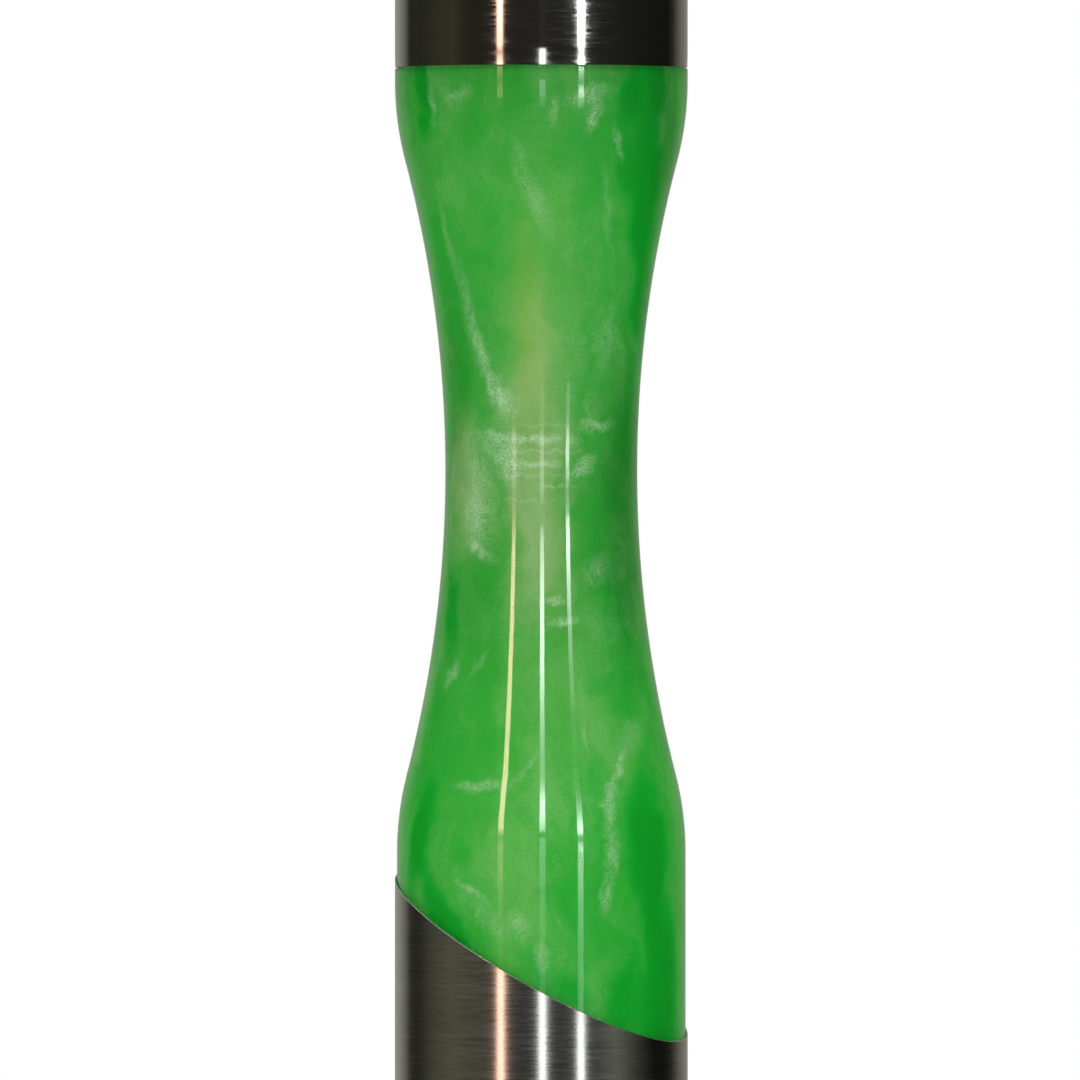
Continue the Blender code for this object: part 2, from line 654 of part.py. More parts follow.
def body_line(inset):
    """Outline points from the vessel's lower cylinder up to its collar, inset from the outside."""
    lower = flank(GLASS_LOWER_RADIUS, inset, -1)
    upper = flank(TUBE_RADIUS, inset, 1)
    return list(reversed(lower)) + upper[1:]


def vessel_inside(inset):
    """The cavity's outline from the bottom's centre to the shoulder's foot."""
    depth = inset + 0.0004  # the bottom is a little thicker than the wall
    fillet = HEEL_FILLET - inset
    floor = HEEL_HEIGHT + depth
    centre = (GLASS_LOWER_RADIUS - HEEL_FILLET, floor + fillet)
    heel = arc(centre, fillet, -90, 0, 3)
    punt = [(0, floor + PUNT_RISE), (HEEL_RING_RADIUS * 0.5, floor + PUNT_RISE * 0.75)]
    return [*punt, *heel, *body_line(inset)]


def make_vessel(vessel, finish):
    heel = arc((GLASS_LOWER_RADIUS - HEEL_FILLET, HEEL_HEIGHT + HEEL_FILLET), HEEL_FILLET, -90, 0, 3)
    outer = [
        (0, HEEL_HEIGHT + PUNT_RISE),
        (HEEL_RING_RADIUS * 0.5, HEEL_HEIGHT + PUNT_RISE * 0.75),
        (HEEL_RING_RADIUS, HEEL_HEIGHT),
        *heel,
        *body_line(0.0),
        (TUBE_RADIUS, CAP_RIM - GAP),
        (COLLAR_RADIUS, CAP_RIM - GAP),
        *s_curve((COLLAR_RADIUS, COLLAR_TOP), (NECK_RADIUS, NECK_START), 0.017, 5),
    ]
    bead = 0.0145  # transfer bead below the lip
    groove = 0.0123
    finish_outline = [
        (NECK_RADIUS, VESSEL_TOP - 0.0115),
        (bead, VESSEL_TOP - 0.0105),
        (bead, VESSEL_TOP - 0.0080),
        (groove, VESSEL_TOP - 0.0068),
        (groove, VESSEL_TOP - 0.0040),
        (LIP_RADIUS, VESSEL_TOP - 0.0030),
        (LIP_RADIUS, VESSEL_TOP - 0.0008),
        (LIP_RADIUS - 0.0010, VESSEL_TOP),
        (NECK_BORE + 0.0006, VESSEL_TOP),
        (NECK_BORE, VESSEL_TOP - 0.0006),
    ]
    inner = vessel_inside(GLASS_WALL)
    shoulder_foot = (inner[-1][0], COLLAR_TOP - 0.003)
    inner += s_curve(shoulder_foot, (NECK_BORE, NECK_START), 0.017, 5)
    turned("glass_vessel", outer + finish_outline + list(reversed(inner)), finish["glass"], vessel)

    wet = vessel_inside(GLASS_WALL + GAP)
    foot = (wet[-1][0], COLLAR_TOP - 0.003)
    dome = s_curve(foot, (NECK_BORE - GAP, NECK_START - 0.0006), 0.017, 5)
    wet += [point for point in dome if point[1] < FLUID_LEVEL]
    below, above = wet[-1], next(point for point in dome if point[1] >= FLUID_LEVEL)
    share = (FLUID_LEVEL - below[1]) / (above[1] - below[1])
    edge = below[0] + share * (above[0] - below[0])
    wet += [(edge - GAP, FLUID_LEVEL), (0, FLUID_LEVEL)]
    turned("pearl_fluid", wet, finish["fluid"], vessel)


def make_crown(vessel, finish):
    """A fluted crown closure over the neck's lip, with its sealing disc."""
    seal_bottom = VESSEL_TOP + GAP
    seal_top = seal_bottom + CROWN_LINER
    seal = [(0, seal_bottom), (0.0128, seal_bottom), (0.0128, seal_top), (0, seal_top)]
    turned("crown_liner", seal, finish["white_plastic"], vessel, segments=32)
    top = seal_top + GAP + CROWN_SHEET
    bottom = top - CROWN_HEIGHT
    outside = [(0, top), (0.0128, top), (0.0139, top - 0.0009), (0.0146, top - 0.003), (0.0154, bottom)]
    inside = [(0.0150, bottom), (0.0142, top - 0.003), (0.0136, top - 0.0012), (0.0128, top - CROWN_SHEET)]
    outline = outside + inside + [(0, top - CROWN_SHEET)]
    segments = 2 * CROWN_FLUTES
    mesh = turned_mesh("crown_cap", outline, segments)
    for vertex in mesh.vertices:
        if vertex.co.z < top - 0.002:
            angle = math.atan2(vertex.co.y, vertex.co.x)
            depth = 0.035 * (top - vertex.co.z) / CROWN_HEIGHT
            vertex.co.xy *= 1 + depth * math.cos(CROWN_FLUTES * angle)
    place("crown_cap", mesh, finish["nickel"], vessel)


# ---- cap ----
def make_cap(cap, finish):
    lid_top = LAMP_HEIGHT
    tube_top = lid_top - SHEET
    sleeve = [
        (TUBE_RADIUS, CAP_RIM),
        (TUBE_RADIUS, tube_top),
        (BORE_RADIUS, tube_top),
        (BORE_RADIUS, CAP_RIM),
    ]
    turned("cap_sleeve", sleeve, finish["brushed_steel"], cap)
    sheet = 0.0008
    radius = BORE_RADIUS - GAP
    edge = 0.0012
    lid = [
        (0, lid_top),
        *arc((radius - edge, lid_top - edge), edge, 90, 0, 3),
        (radius, lid_top - LID_SKIRT),
        (radius - sheet, lid_top - LID_SKIRT),
        (radius - sheet, lid_top - edge - sheet),
        (radius - sheet - edge, lid_top - sheet),
        (0, lid_top - sheet),
    ]
    turned("cap_lid", lid, finish["brushed_steel"], cap)
    low, high = LINER_RING_BOTTOM, LINER_RING_BOTTOM + LINER_RING_HEIGHT
    ring = [(LINER_RING_RADIUS, low), (radius, low), (radius, high), (LINER_RING_RADIUS + 0.0012, high)]
    turned("cap_liner", ring, finish["black_plastic"], cap)


def main():
    for old in list(bpy.data.objects):
        bpy.data.objects.remove(old, do_unlink=True)
    finish = make_materials()
    base = pivot("base_assembly", (0, 0, 0))
    carrier = pivot("bulb_thread_axis", (0, 0, BULB_TIP), base)
    bulb = pivot("bulb_assembly", (0, 0, BULB_TIP), base)
    vessel = pivot("vessel_assembly", (0, 0, HEEL_HEIGHT), base)
    cap = pivot("cap_assembly", (0, 0, CAP_RIM), base)
    make_sleeve(base, finish)
    make_plate(base, finish)
    make_feet(base, finish)
    make_fasteners(base, finish)
    make_support(base, finish)
    make_gland(base, finish)
    make_bracket(base, finish)
    make_socket(base, finish)
    make_wiring(base, finish)
    make_bulb(carrier, bulb, finish)
    make_vessel(vessel, finish)
    make_crown(vessel, finish)
    make_cap(cap, finish)


main()
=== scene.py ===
"""The looks of a lava lamp: brushed steel cap and slant-cut base, and a glass vessel of green mica fluid.

Metres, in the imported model's frame: +Z up, the origin under the lamp on the surface it stands on,
the cord's outlet at the back (+Y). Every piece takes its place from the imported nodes. Compass
degrees are seen from the lamp: 0 towards the camera, + towards +X, 180 behind.
"""

import math

import bmesh
import bpy
from mathutils import Matrix, Vector


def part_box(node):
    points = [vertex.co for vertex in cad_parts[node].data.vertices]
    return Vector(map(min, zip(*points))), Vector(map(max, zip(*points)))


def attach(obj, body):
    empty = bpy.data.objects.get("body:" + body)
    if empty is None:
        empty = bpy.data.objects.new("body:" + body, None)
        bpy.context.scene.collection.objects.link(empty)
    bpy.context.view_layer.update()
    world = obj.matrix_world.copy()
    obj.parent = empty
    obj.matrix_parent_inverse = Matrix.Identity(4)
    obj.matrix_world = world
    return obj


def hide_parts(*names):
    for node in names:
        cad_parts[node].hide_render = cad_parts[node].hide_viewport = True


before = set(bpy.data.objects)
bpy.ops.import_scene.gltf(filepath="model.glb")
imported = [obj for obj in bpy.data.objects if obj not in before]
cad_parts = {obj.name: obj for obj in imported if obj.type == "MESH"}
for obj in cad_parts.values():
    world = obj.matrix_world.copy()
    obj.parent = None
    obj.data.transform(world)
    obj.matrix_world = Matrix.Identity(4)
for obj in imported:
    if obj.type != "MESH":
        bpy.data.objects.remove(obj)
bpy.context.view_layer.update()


def reach(node):
    """A node's lowest and highest point, as heights."""
    low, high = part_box(node)
    return low.z, high.z


def middle(node):
    low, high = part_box(node)
    return (low + high) / 2


def half_width(node):
    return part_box(node)[1].x - middle(node).x


# ---- sizes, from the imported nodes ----
TUBE_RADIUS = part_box("cap_sleeve")[1].x
CAP_RIM, CAP_TUBE_TOP = reach("cap_sleeve")
LAMP_TOP = reach("cap_lid")[1]
SLEEVE_BOTTOM = reach("base_sleeve")[0]
VESSEL_BOTTOM, VESSEL_TOP = reach("glass_vessel")
FLUID_LEVEL = reach("pearl_fluid")[1]
GLAND_HEIGHT = middle("cord_gland").z

# ---- sizes that the boxes don't show ----
SHEET = 0.0005
BORE_RADIUS = TUBE_RADIUS - SHEET
GAP = 0.0003
CUT_ANGLE = math.radians(30)
CUT_DIRECTION = math.radians(-23.4)
CUT_HEIGHT = 0.122
WAIST_HEIGHT = 0.2712
WAIST_RADIUS = 0.0295
WAIST_ARC = 0.3735
SHOULDER_ARC = 0.0965
GLASS_WALL = 0.0028
GLASS_LOWER_RADIUS = BORE_RADIUS - 0.00015
HEEL_FILLET = 0.007
HEEL_RING_RADIUS = 0.0345
PUNT_RISE = 0.004
COLLAR_RADIUS = BORE_RADIUS - GAP
COLLAR_TOP = CAP_RIM + 0.002
NECK_RADIUS = 0.014
NECK_START = 0.427
NECK_BORE = 0.0095
NECK_PULL = 0.017
LIP_RADIUS = 0.0133
SUPPORT_RADIUS = 0.035
SUPPORT_WALL = 0.0008
SCREW_HOLE = 0.0018
GLAND_RADIUS = 0.0046
THREAD_PITCH = 0.00282
THREAD_DEPTH = 0.0006
BULB_RADIUS = 0.0175
BULB_WALL = 0.0008
NUT_FLATS = 0.0055
NUT_BORE = 0.0015
RING_INNER_RADIUS = 0.039
SUPPORT_CORD_HOLE = 0.0056
VENT_DEGREES = (60, 120, 232, 251, 270, 289, 308)
VENT_MIDDLE_RADIUS = 0.0215
VENT_LENGTH = 0.0095
VENT_WIDTH = 0.0026
FLUID_OVERLAP = 0.00015  # how far the fluid's skin lies within the glass that it wets
CROWN_FLUTES = 21
FINE = 256  # segments round a large piece
MEDIUM = 96  # segments round a small one
SMOOTH_ANGLE = 40  # degrees between faces, above which an edge is sharp

# ---- camera: level with the lamp's middle, far off, through a long lens ----
CAMERA_DISTANCE = 7.2
CAMERA_HEIGHT = 0.24985
CAMERA_ASIDE = -0.0004
CAMERA_LENS = 781.0


# ---- nodes ----
class Nodes:
    """A node tree, with short names for the nodes that these finishes and lights are made of."""

    def __init__(self, tree):
        self.nodes = tree.nodes
        self.links = tree.links

    def plug(self, socket, value):
        if isinstance(value, bpy.types.NodeSocket):
            self.links.new(value, socket)
        elif isinstance(value, tuple) and len(socket.default_value) == 4:
            socket.default_value = (*value, 1.0)
        else:
            socket.default_value = value

    def add(self, kind, inputs, **settings):
        node = self.nodes.new(kind)
        for name, value in settings.items():
            setattr(node, name, value)
        for key, value in inputs.items():
            self.plug(node.inputs[key], value)
        return node

    def position(self, scale=(1, 1, 1), output="Object"):
        """The point on the piece in metres (or the world's direction), stretched by scale."""
        coordinates = self.add("ShaderNodeTexCoord", {})
        return self.vector("MULTIPLY", coordinates.outputs[output], scale)

    def vector(self, operation, first, second):
        node = self.add("ShaderNodeVectorMath", {}, operation=operation)
        self.plug(node.inputs[0], first)
        self.plug(node.inputs[1], second)
        return node.outputs["Vector"]

    def length(self, vector):
        return self.add("ShaderNodeVectorMath", {0: vector}, operation="LENGTH").outputs["Value"]

    def split(self, vector):
        return self.add("ShaderNodeSeparateXYZ", {"Vector": vector}).outputs

    def math(self, operation, *values, clamp=False):
        inputs = dict(enumerate(values))
        return self.add("ShaderNodeMath", inputs, operation=operation, use_clamp=clamp).outputs["Value"]

    def compass(self, place):
        """The direction of a point round the lamp's axis, in radians."""
        x, y, _ = self.split(place)
        return self.math("ARCTAN2", x, self.math("MULTIPLY", y, -1.0))

    def noise(self, vector, scale, detail=3.0, roughness=0.5, output="Fac"):
        inputs = {"Vector": vector, "Scale": scale, "Detail": detail, "Roughness": roughness}
        return self.add("ShaderNodeTexNoise", inputs).outputs[output]

    def remap(self, value, low, high, to_low=0.0, to_high=1.0, kind="LINEAR"):
        inputs = {"Value": value, "From Min": low, "From Max": high, "To Min": to_low, "To Max": to_high}
        return self.add("ShaderNodeMapRange", inputs, interpolation_type=kind).outputs["Result"]

    def ramp(self, value, stops):
        node = self.add("ShaderNodeValToRGB", {"Fac": value})
        elements = node.color_ramp.elements
        while len(elements) < len(stops):
            elements.new(0.5)
        for element, (place, colour) in zip(elements, stops):
            element.position = place
            element.color = (*colour, 1.0)
        return node.outputs["Color"]

    def mix(self, share, first, second):
        node = self.add("ShaderNodeMix", {"Factor": share}, data_type="RGBA")
        colours = [s for s in node.inputs if s.type == "RGBA"]
        self.plug(colours[0], first)
        self.plug(colours[1], second)
        return next(s for s in node.outputs if s.type == "RGBA")


class Shader(Nodes):
    """A new material with its Principled shader."""

    def __init__(self, name):
        self.material = bpy.data.materials.new(name)
        self.material.use_nodes = True
        super().__init__(self.material.node_tree)
        self.shader = self.nodes["Principled BSDF"]
        self.output = self.nodes["Material Output"]

    def set(self, **sockets):
        for name, value in sockets.items():
            self.plug(self.shader.inputs[name.replace("_", " ")], value)

    def bump(self, height, distance, strength=1.0):
        node = self.add("ShaderNodeBump", {"Height": height, "Distance": distance, "Strength": strength})
        self.links.new(node.outputs["Normal"], self.shader.inputs["Normal"])

    def brush_round(self, anisotropy, turn=0.25):
        """Gloss drawn out along the lamp's height by a quarter turn, or round its axis by none."""
        self.set(Anisotropic=anisotropy, Anisotropic_Rotation=turn)
        tangent = self.add("ShaderNodeTangent", {}, direction_type="RADIAL", axis="Z")
        self.links.new(tangent.outputs["Tangent"], self.shader.inputs["Tangent"])


def shades(tint, amount):
    """A darker and a lighter shade of a tint."""
    dark = tuple(c * (1 - amount) for c in tint)
    light = tuple(min(1.0, c * (1 + amount)) for c in tint)
    return dark, light


def grey(value):
    return (value, value, value)


# ---- finishes ----
def brushed_steel(name, tint, smooth, coarse, grain, worn=(0.36, 0.64), turn=0.25):
    """Steel brushed round its tube: level scratches, from a smooth roughness to a coarse one."""
    s = Shader(name)
    fine = s.noise(s.position((60, 60, 5200)), 1.0, detail=2.0, roughness=0.6)
    lines = s.noise(s.position((110, 110, 1700)), 1.0, detail=3.0, roughness=0.65)
    bands = s.noise(s.position((9, 9, 320)), 1.0, detail=3.0)
    smudges = s.noise(s.position((1, 1, 0.35)), 34.0, detail=2.0)
    shade = s.math("ADD", s.math("MULTIPLY", lines, 0.5), s.math("MULTIPLY", fine, 0.3))
    shade = s.math("ADD", shade, s.math("MULTIPLY", bands, 0.2))
    s.set(Base_Color=s.mix(s.remap(shade, 0.36, 0.64), *shades(tint, grain)), Metallic=1.0)
    wear = s.math("ADD", s.math("MULTIPLY", lines, 0.7), s.math("MULTIPLY", smudges, 0.3))
    s.set(Roughness=s.remap(wear, *worn, smooth, coarse))
    s.brush_round(1.0, turn)
    s.bump(s.math("ADD", lines, fine), 0.00001 * grain, 0.5)
    return s.material


def plain_metal(name, tint, roughness, blotch=0.08, grain_scale=900.0):
    """Plated or spun metal with slight tarnish and a fine tooth."""
    s = Shader(name)
    patches = s.noise(s.position(), 120.0)
    tooth = s.noise(s.position(), grain_scale, detail=2.0)
    s.set(Base_Color=s.mix(s.remap(patches, 0.35, 0.65), shades(tint, blotch)[0], tint), Metallic=1.0)
    s.set(Roughness=s.remap(s.math("ADD", patches, tooth), 0.7, 1.3, roughness * 0.75, roughness * 1.25))
    s.bump(tooth, 0.00001, 0.5)
    return s.material


def moulded(name, tint, roughness, texture_scale=1400.0, depth=0.00003):
    """Moulded plastic, rubber or ceramic with a fine surface texture."""
    s = Shader(name)
    pores = s.noise(s.position(), texture_scale, detail=2.0)
    cloud = s.noise(s.position(), 160.0, detail=2.0)
    s.set(Base_Color=s.mix(s.remap(cloud, 0.35, 0.65), shades(tint, 0.12)[0], tint))
    s.set(Roughness=s.remap(cloud, 0.3, 0.7, roughness * 0.85, roughness * 1.1))
    s.bump(pores, depth, 0.4)
    return s.material


def clear_glass(name, tint):
    """Refracting glass that lets light sampled from lamps straight through."""
    s = Shader(name)
    s.set(Base_Color=tint, Roughness=0.0, IOR=1.5, Transmission_Weight=1.0)
    path = s.add("ShaderNodeLightPath", {})
    through = s.add("ShaderNodeBsdfTransparent", {"Color": tint})
    choose = s.add("ShaderNodeMixShader", {"Fac": path.outputs["Is Shadow Ray"]})
    s.links.new(s.shader.outputs["BSDF"], choose.inputs[1])
    s.links.new(through.outputs["BSDF"], choose.inputs[2])
    s.links.new(choose.outputs["Shader"], s.output.inputs["Surface"])
    return s.material


# ---- shape helpers ----
def polar(radius, angle, height=0.0):
    return Vector((radius * math.cos(angle), radius * math.sin(angle), height))


def arc(centre, radius, start_degrees, end_degrees, steps):
    points = []
    for i in range(steps + 1):
        angle = math.radians(start_degrees + (end_degrees - start_degrees) * i / steps)
        points.append((centre[0] + radius * math.cos(angle), centre[1] + radius * math.sin(angle)))
    return points


def s_curve(start, end, pull, steps):
    """Points from start to end, leaving and arriving upright, like a bottle's shoulder."""
    handles = [start, (start[0], start[1] + pull), (end[0], end[1] - pull), end]
    points = []
    for i in range(steps + 1):
        t = i / steps
        weights = [(1 - t) ** 3, 3 * t * (1 - t) ** 2, 3 * t * t * (1 - t), t**3]
        points.append(tuple(sum(w * h[k] for w, h in zip(weights, handles)) for k in (0, 1)))
    return points


def box_outline(inner, outer, low, high):
    return [(inner, low), (outer, low), (outer, high), (inner, high)]


def eased(outline, radius, steps=3):
    """A closed outline with each corner off the axis rounded, by radius or a third of a short side."""
    points = [Vector(p) for p in outline]
    rounded = []
    for i, corner in enumerate(points):
        before, after = points[i - 1], points[(i + 1) % len(points)]
        into, out = corner - before, after - corner
        if corner.x < 1e-6 or min(into.length, out.length) < 1e-9 or into.angle(out) < math.radians(20):
            rounded.append(tuple(corner))
            continue
        size = min(radius, into.length / 3, out.length / 3)
        start, end = corner - into.normalized() * size, corner + out.normalized() * size
        for step in range(steps + 1):
            t = step / steps
            rounded.append(tuple(start * (1 - t) ** 2 + corner * (2 * t * (1 - t)) + end * t * t))
    return rounded


def placed(name, data):
    """A new object in the scene."""
    piece = bpy.data.objects.new(name, data)
    bpy.context.scene.collection.objects.link(piece)
    return piece


def finished(name, bm, *materials, smooth_angle=SMOOTH_ANGLE):
    bmesh.ops.recalc_face_normals(bm, faces=bm.faces[:])
    mesh = bpy.data.meshes.new(name)
    bm.to_mesh(mesh)
    bm.free()
    mesh.shade_smooth()
    mesh.set_sharp_from_angle(angle=math.radians(smooth_angle))
    for material in materials:
        mesh.materials.append(material)
    return placed(name, mesh)


def spun(outline, segments):
    """A bmesh made by spinning a closed outline of (radius, height) points about Z."""
    bm = bmesh.new()
    corners = [bm.verts.new((radius, 0.0, height)) for radius, height in outline]
    for first, second in zip(corners, corners[1:] + corners[:1]):
        if first.co.x > 0 or second.co.x > 0:
            bm.edges.new((first, second))
    turn = {"cent": (0, 0, 0), "axis": (0, 0, 1), "angle": 2 * math.pi, "steps": segments}
    bmesh.ops.spin(bm, geom=bm.verts[:] + bm.edges[:], use_merge=True, **turn)
    bmesh.ops.remove_doubles(bm, verts=bm.verts[:], dist=1e-7)
    return bm


def turned(name, outline, material, segments=FINE, ease=0.0003, smooth_angle=SMOOTH_ANGLE):
    bm = spun(eased(outline, ease) if ease else outline, segments)
    return finished(name, bm, material, smooth_angle=smooth_angle)


def add_rod(bm, start, end, radius, segments=48):
    start, end = Vector(start), Vector(end)
    along = end - start
    matrix = Matrix.Translation((start + end) / 2) @ along.to_track_quat("Z", "Y").to_matrix().to_4x4()
    size = {"radius1": radius, "radius2": radius, "depth": along.length}
    bmesh.ops.create_cone(bm, cap_ends=True, segments=segments, matrix=matrix, **size)


def add_prism(bm, points, low, high):
    """An upright prism over a closed run of (x, y) points."""
    face = bm.faces.new([bm.verts.new((x, y, low)) for x, y in points])
    moved = bmesh.ops.extrude_face_region(bm, geom=[face])["geom"]
    corners = [v for v in moved if isinstance(v, bmesh.types.BMVert)]
    bmesh.ops.translate(bm, verts=corners, vec=(0, 0, high - low))


def carve(piece, bm, operation="DIFFERENCE", crossing=False):
    """Cut a piece with the bodies in bm, for good."""
    tool = finished("tool", bm, *piece.data.materials)
    boolean = piece.modifiers.new("carve", "BOOLEAN")
    boolean.operation = operation
    boolean.object = tool
    boolean.use_self = crossing
    bpy.context.view_layer.update()
    result = piece.evaluated_get(bpy.context.evaluated_depsgraph_get())
    mesh = bpy.data.meshes.new_from_object(result)
    mesh.set_sharp_from_angle(angle=math.radians(SMOOTH_ANGLE))
    piece.modifiers.clear()
    piece.data = mesh
    bpy.data.objects.remove(tool, do_unlink=True)
    return piece


def drill(piece, nodes, radius=SCREW_HOLE):
    """Upright holes through a flat piece where the named nodes are."""
    low, high = piece.bound_box[0][2] - 0.001, piece.bound_box[6][2] + 0.001
    bm = bmesh.new()
    for node in nodes:
        at = middle(node)
        add_rod(bm, (at.x, at.y, low), (at.x, at.y, high), radius)
    return carve(piece, bm)


def stand_for(piece, node, body):
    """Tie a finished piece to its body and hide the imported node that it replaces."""
    if piece.type == "MESH":
        piece.modifiers.new("weighted_normals", "WEIGHTED_NORMAL").keep_sharp = True
    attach(piece, body)
    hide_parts(node)
    return piece


def drawn(name, runs, radius, material):
    """A round wire along smooth curves; a fourth value in a point is its share of the radius."""
    curve = bpy.data.curves.new(name, "CURVE")
    curve.dimensions = "3D"
    curve.bevel_depth = radius
    curve.bevel_resolution = 5
    curve.use_fill_caps = True
    for points in runs:
        spline = curve.splines.new("NURBS")
        spline.points.add(len(points) - 1)
        for control, point in zip(spline.points, points):
            control.co = (*point[:3], 1.0)
            control.radius = point[3] if len(point) > 3 else 1.0
        spline.order_u = 4
        spline.use_endpoint_u = True
        spline.resolution_u = 12
    curve.materials.append(material)
    return placed(name, curve)


def wind_thread(bm, root, low, high):
    """Turn the wall at a radius between two heights into a right-handed screw thread."""
    for vertex in bm.verts:
        x, y, z = vertex.co
        if abs(math.hypot(x, y) - root) < 1e-6 and low <= z <= high:
            wave = 0.5 + 0.5 * math.cos(2 * math.pi * z / THREAD_PITCH - math.atan2(y, x))
            fade = min(1.0, (z - low) / THREAD_PITCH, (high - z) / THREAD_PITCH)
            vertex.co.xy *= 1 + THREAD_DEPTH * wave * fade / root


def threaded(name, root, other, start, end, material):
    """A thin upright shell between two radii, its wall at the root radius wound into a thread."""
    rows = [(root, start + (end - start) * i / 60) for i in range(61)]
    bm = spun([*rows, (other, end), (other, start)], MEDIUM)
    wind_thread(bm, root, min(start, end), max(start, end))
    return finished(name, bm, material)


def bent_strip(name, outline, node, edge, material):
    """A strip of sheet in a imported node's place, from its side view in (x, z) above that node's foot."""
    low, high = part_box(node)
    bm = bmesh.new()
    add_prism(bm, outline, low.y, high.y)
    bmesh.ops.rotate(bm, verts=bm.verts, matrix=Matrix.Rotation(math.pi / 2, 3, "X"))
    bmesh.ops.translate(bm, verts=bm.verts, vec=(0, 0, low.z))
    bmesh.ops.bevel(bm, geom=bm.edges[:], offset=edge, segments=2, affect="EDGES", profile=0.5)
    return finished(name, bm, material)


# ---- base ----
SCREWS = ["plate_screw_1", "plate_screw_2", "plate_screw_3"]
BRACKET_SCREWS = ["bracket_screw_1", "bracket_screw_2"]


def cut_plane_height(x, y):
    """Height of the base's slanted cut above a point of the floor."""
    slope = math.tan(CUT_ANGLE)
    return CUT_HEIGHT - slope * (x * math.cos(CUT_DIRECTION) + y * math.sin(CUT_DIRECTION))


def make_sleeve(material, rim_material):
    """The slant-cut tube, its edge lying in the cut's plane and slightly broken on both sides."""
    ease = 0.00012
    profile = [  # radius, share of the way up from the bottom edge, drop below that end
        (BORE_RADIUS + ease, 0, 0.0),
        (TUBE_RADIUS - ease, 0, 0.0),
        (TUBE_RADIUS, 0, ease),
        (TUBE_RADIUS, 1, ease),
        (TUBE_RADIUS - ease, 1, 0.0),
        (BORE_RADIUS + ease, 1, 0.0),
        (BORE_RADIUS, 1, ease),
        (BORE_RADIUS, 0, ease),
    ]
    bm = bmesh.new()
    columns = []
    for i in range(FINE):
        angle = 2 * math.pi * i / FINE
        column = []
        for radius, end, drop in profile:
            x, y = radius * math.cos(angle), radius * math.sin(angle)
            z = cut_plane_height(x, y) - drop if end else SLEEVE_BOTTOM + drop
            column.append(bm.verts.new((x, y, z)))
        columns.append(column)
    for i, column in enumerate(columns):
        following = columns[(i + 1) % FINE]
        for k in range(len(profile)):
            n = (k + 1) % len(profile)
            face = bm.faces.new((column[k], following[k], following[n], column[n]))
            face.material_index = 1 if k in (3, 4, 5) else 0
    piece = finished("base_sleeve_steel", bm, material, rim_material)
    hole = bmesh.new()
    start, end = (0, SUPPORT_RADIUS, GLAND_HEIGHT), (0, 1.2 * TUBE_RADIUS, GLAND_HEIGHT)
    add_rod(hole, start, end, GLAND_RADIUS + GAP)
    stand_for(carve(piece, hole), "base_sleeve", "base")


def flat_ring(name, node, inner, material, holes=()):
    low, high = reach(node)
    piece = turned(name, box_outline(inner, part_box(node)[1].x, low, high), material, ease=0.00015)
    return drill(piece, holes) if holes else piece


def slot_points(radius, angle, length, width):
    """The outline of a slot with round ends, lying along a compass ray from the axis."""
    points = []
    for end in (1, -1):
        for i in range(13):
            turn = math.pi * (i / 12 - 0.5) + (0 if end == 1 else math.pi)
            x = radius + end * (length - width) / 2 + width / 2 * math.cos(turn)
            y = width / 2 * math.sin(turn)
            spot = Matrix.Rotation(angle, 2) @ Vector((x, y))
            points.append(tuple(spot))
    return points


def make_plate(material):
    """The bottom plate, with vent slots where cool air is drawn in round the lamp socket."""
    piece = flat_ring("bottom_plate", "base_plate", 0, material, SCREWS + BRACKET_SCREWS + ["earth_screw"])
    low, high = reach("base_plate")
    bm = bmesh.new()
    for degrees in VENT_DEGREES:
        slot = slot_points(VENT_MIDDLE_RADIUS, math.radians(degrees), VENT_LENGTH, VENT_WIDTH)
        add_prism(bm, slot, low - SHEET, high + SHEET)
    stand_for(carve(piece, bm), "base_plate", "base")


def make_feet(material):
    for number in range(1, 5):
        node = f"foot_{number}"
        radius, edge, top = half_width(node), 0.0009, reach(node)[1]
        outline = [(0, 0), *arc((radius - edge, edge), edge, -90, 0, 8), (radius, top), (0, top)]
        piece = turned(f"rubber_foot_{number}", outline, material, segments=MEDIUM)
        piece.location = (middle(node).x, middle(node).y, 0)
        stand_for(piece, node, "base")


def make_screw(name, node, material):
    """A pan-head screw, head down, with a cross recess and a fine thread."""
    low, high = reach(node)
    head, depth, shank, pitch = half_width(node), 0.0014, 0.0014, 0.0005
    outline = [(0, low), (head * 0.5, low)]
    for t in (0.4, 0.8, 1.2, 1.57):
        outline.append((head * (0.5 + 0.5 * math.sin(t)), low + 0.8 * depth * (1 - math.cos(t))))
    outline += [(head, low + depth), (shank, low + depth)]
    height = low + depth + pitch
    while height + pitch < high - shank / 2:
        outline += [(shank - 0.0003, height), (shank, height + pitch / 2)]
        height += pitch
    outline += [(shank - 0.0003, height), (shank / 2, high), (0, high)]
    piece = turned(name, outline, material, segments=48, ease=0, smooth_angle=32)
    bm = bmesh.new()
    for turn in (0, math.pi / 2):
        size = Matrix.Diagonal((head * 1.15, head * 0.24, depth * 1.1, 1))
        place = Matrix.Translation((0, 0, low)) @ Matrix.Rotation(turn, 4, "Z")
        bmesh.ops.create_cube(bm, size=1, matrix=place @ size)
    carve(piece, bm, crossing=True)
    piece.location = (middle(node).x, middle(node).y, 0)
    stand_for(piece, node, "base")


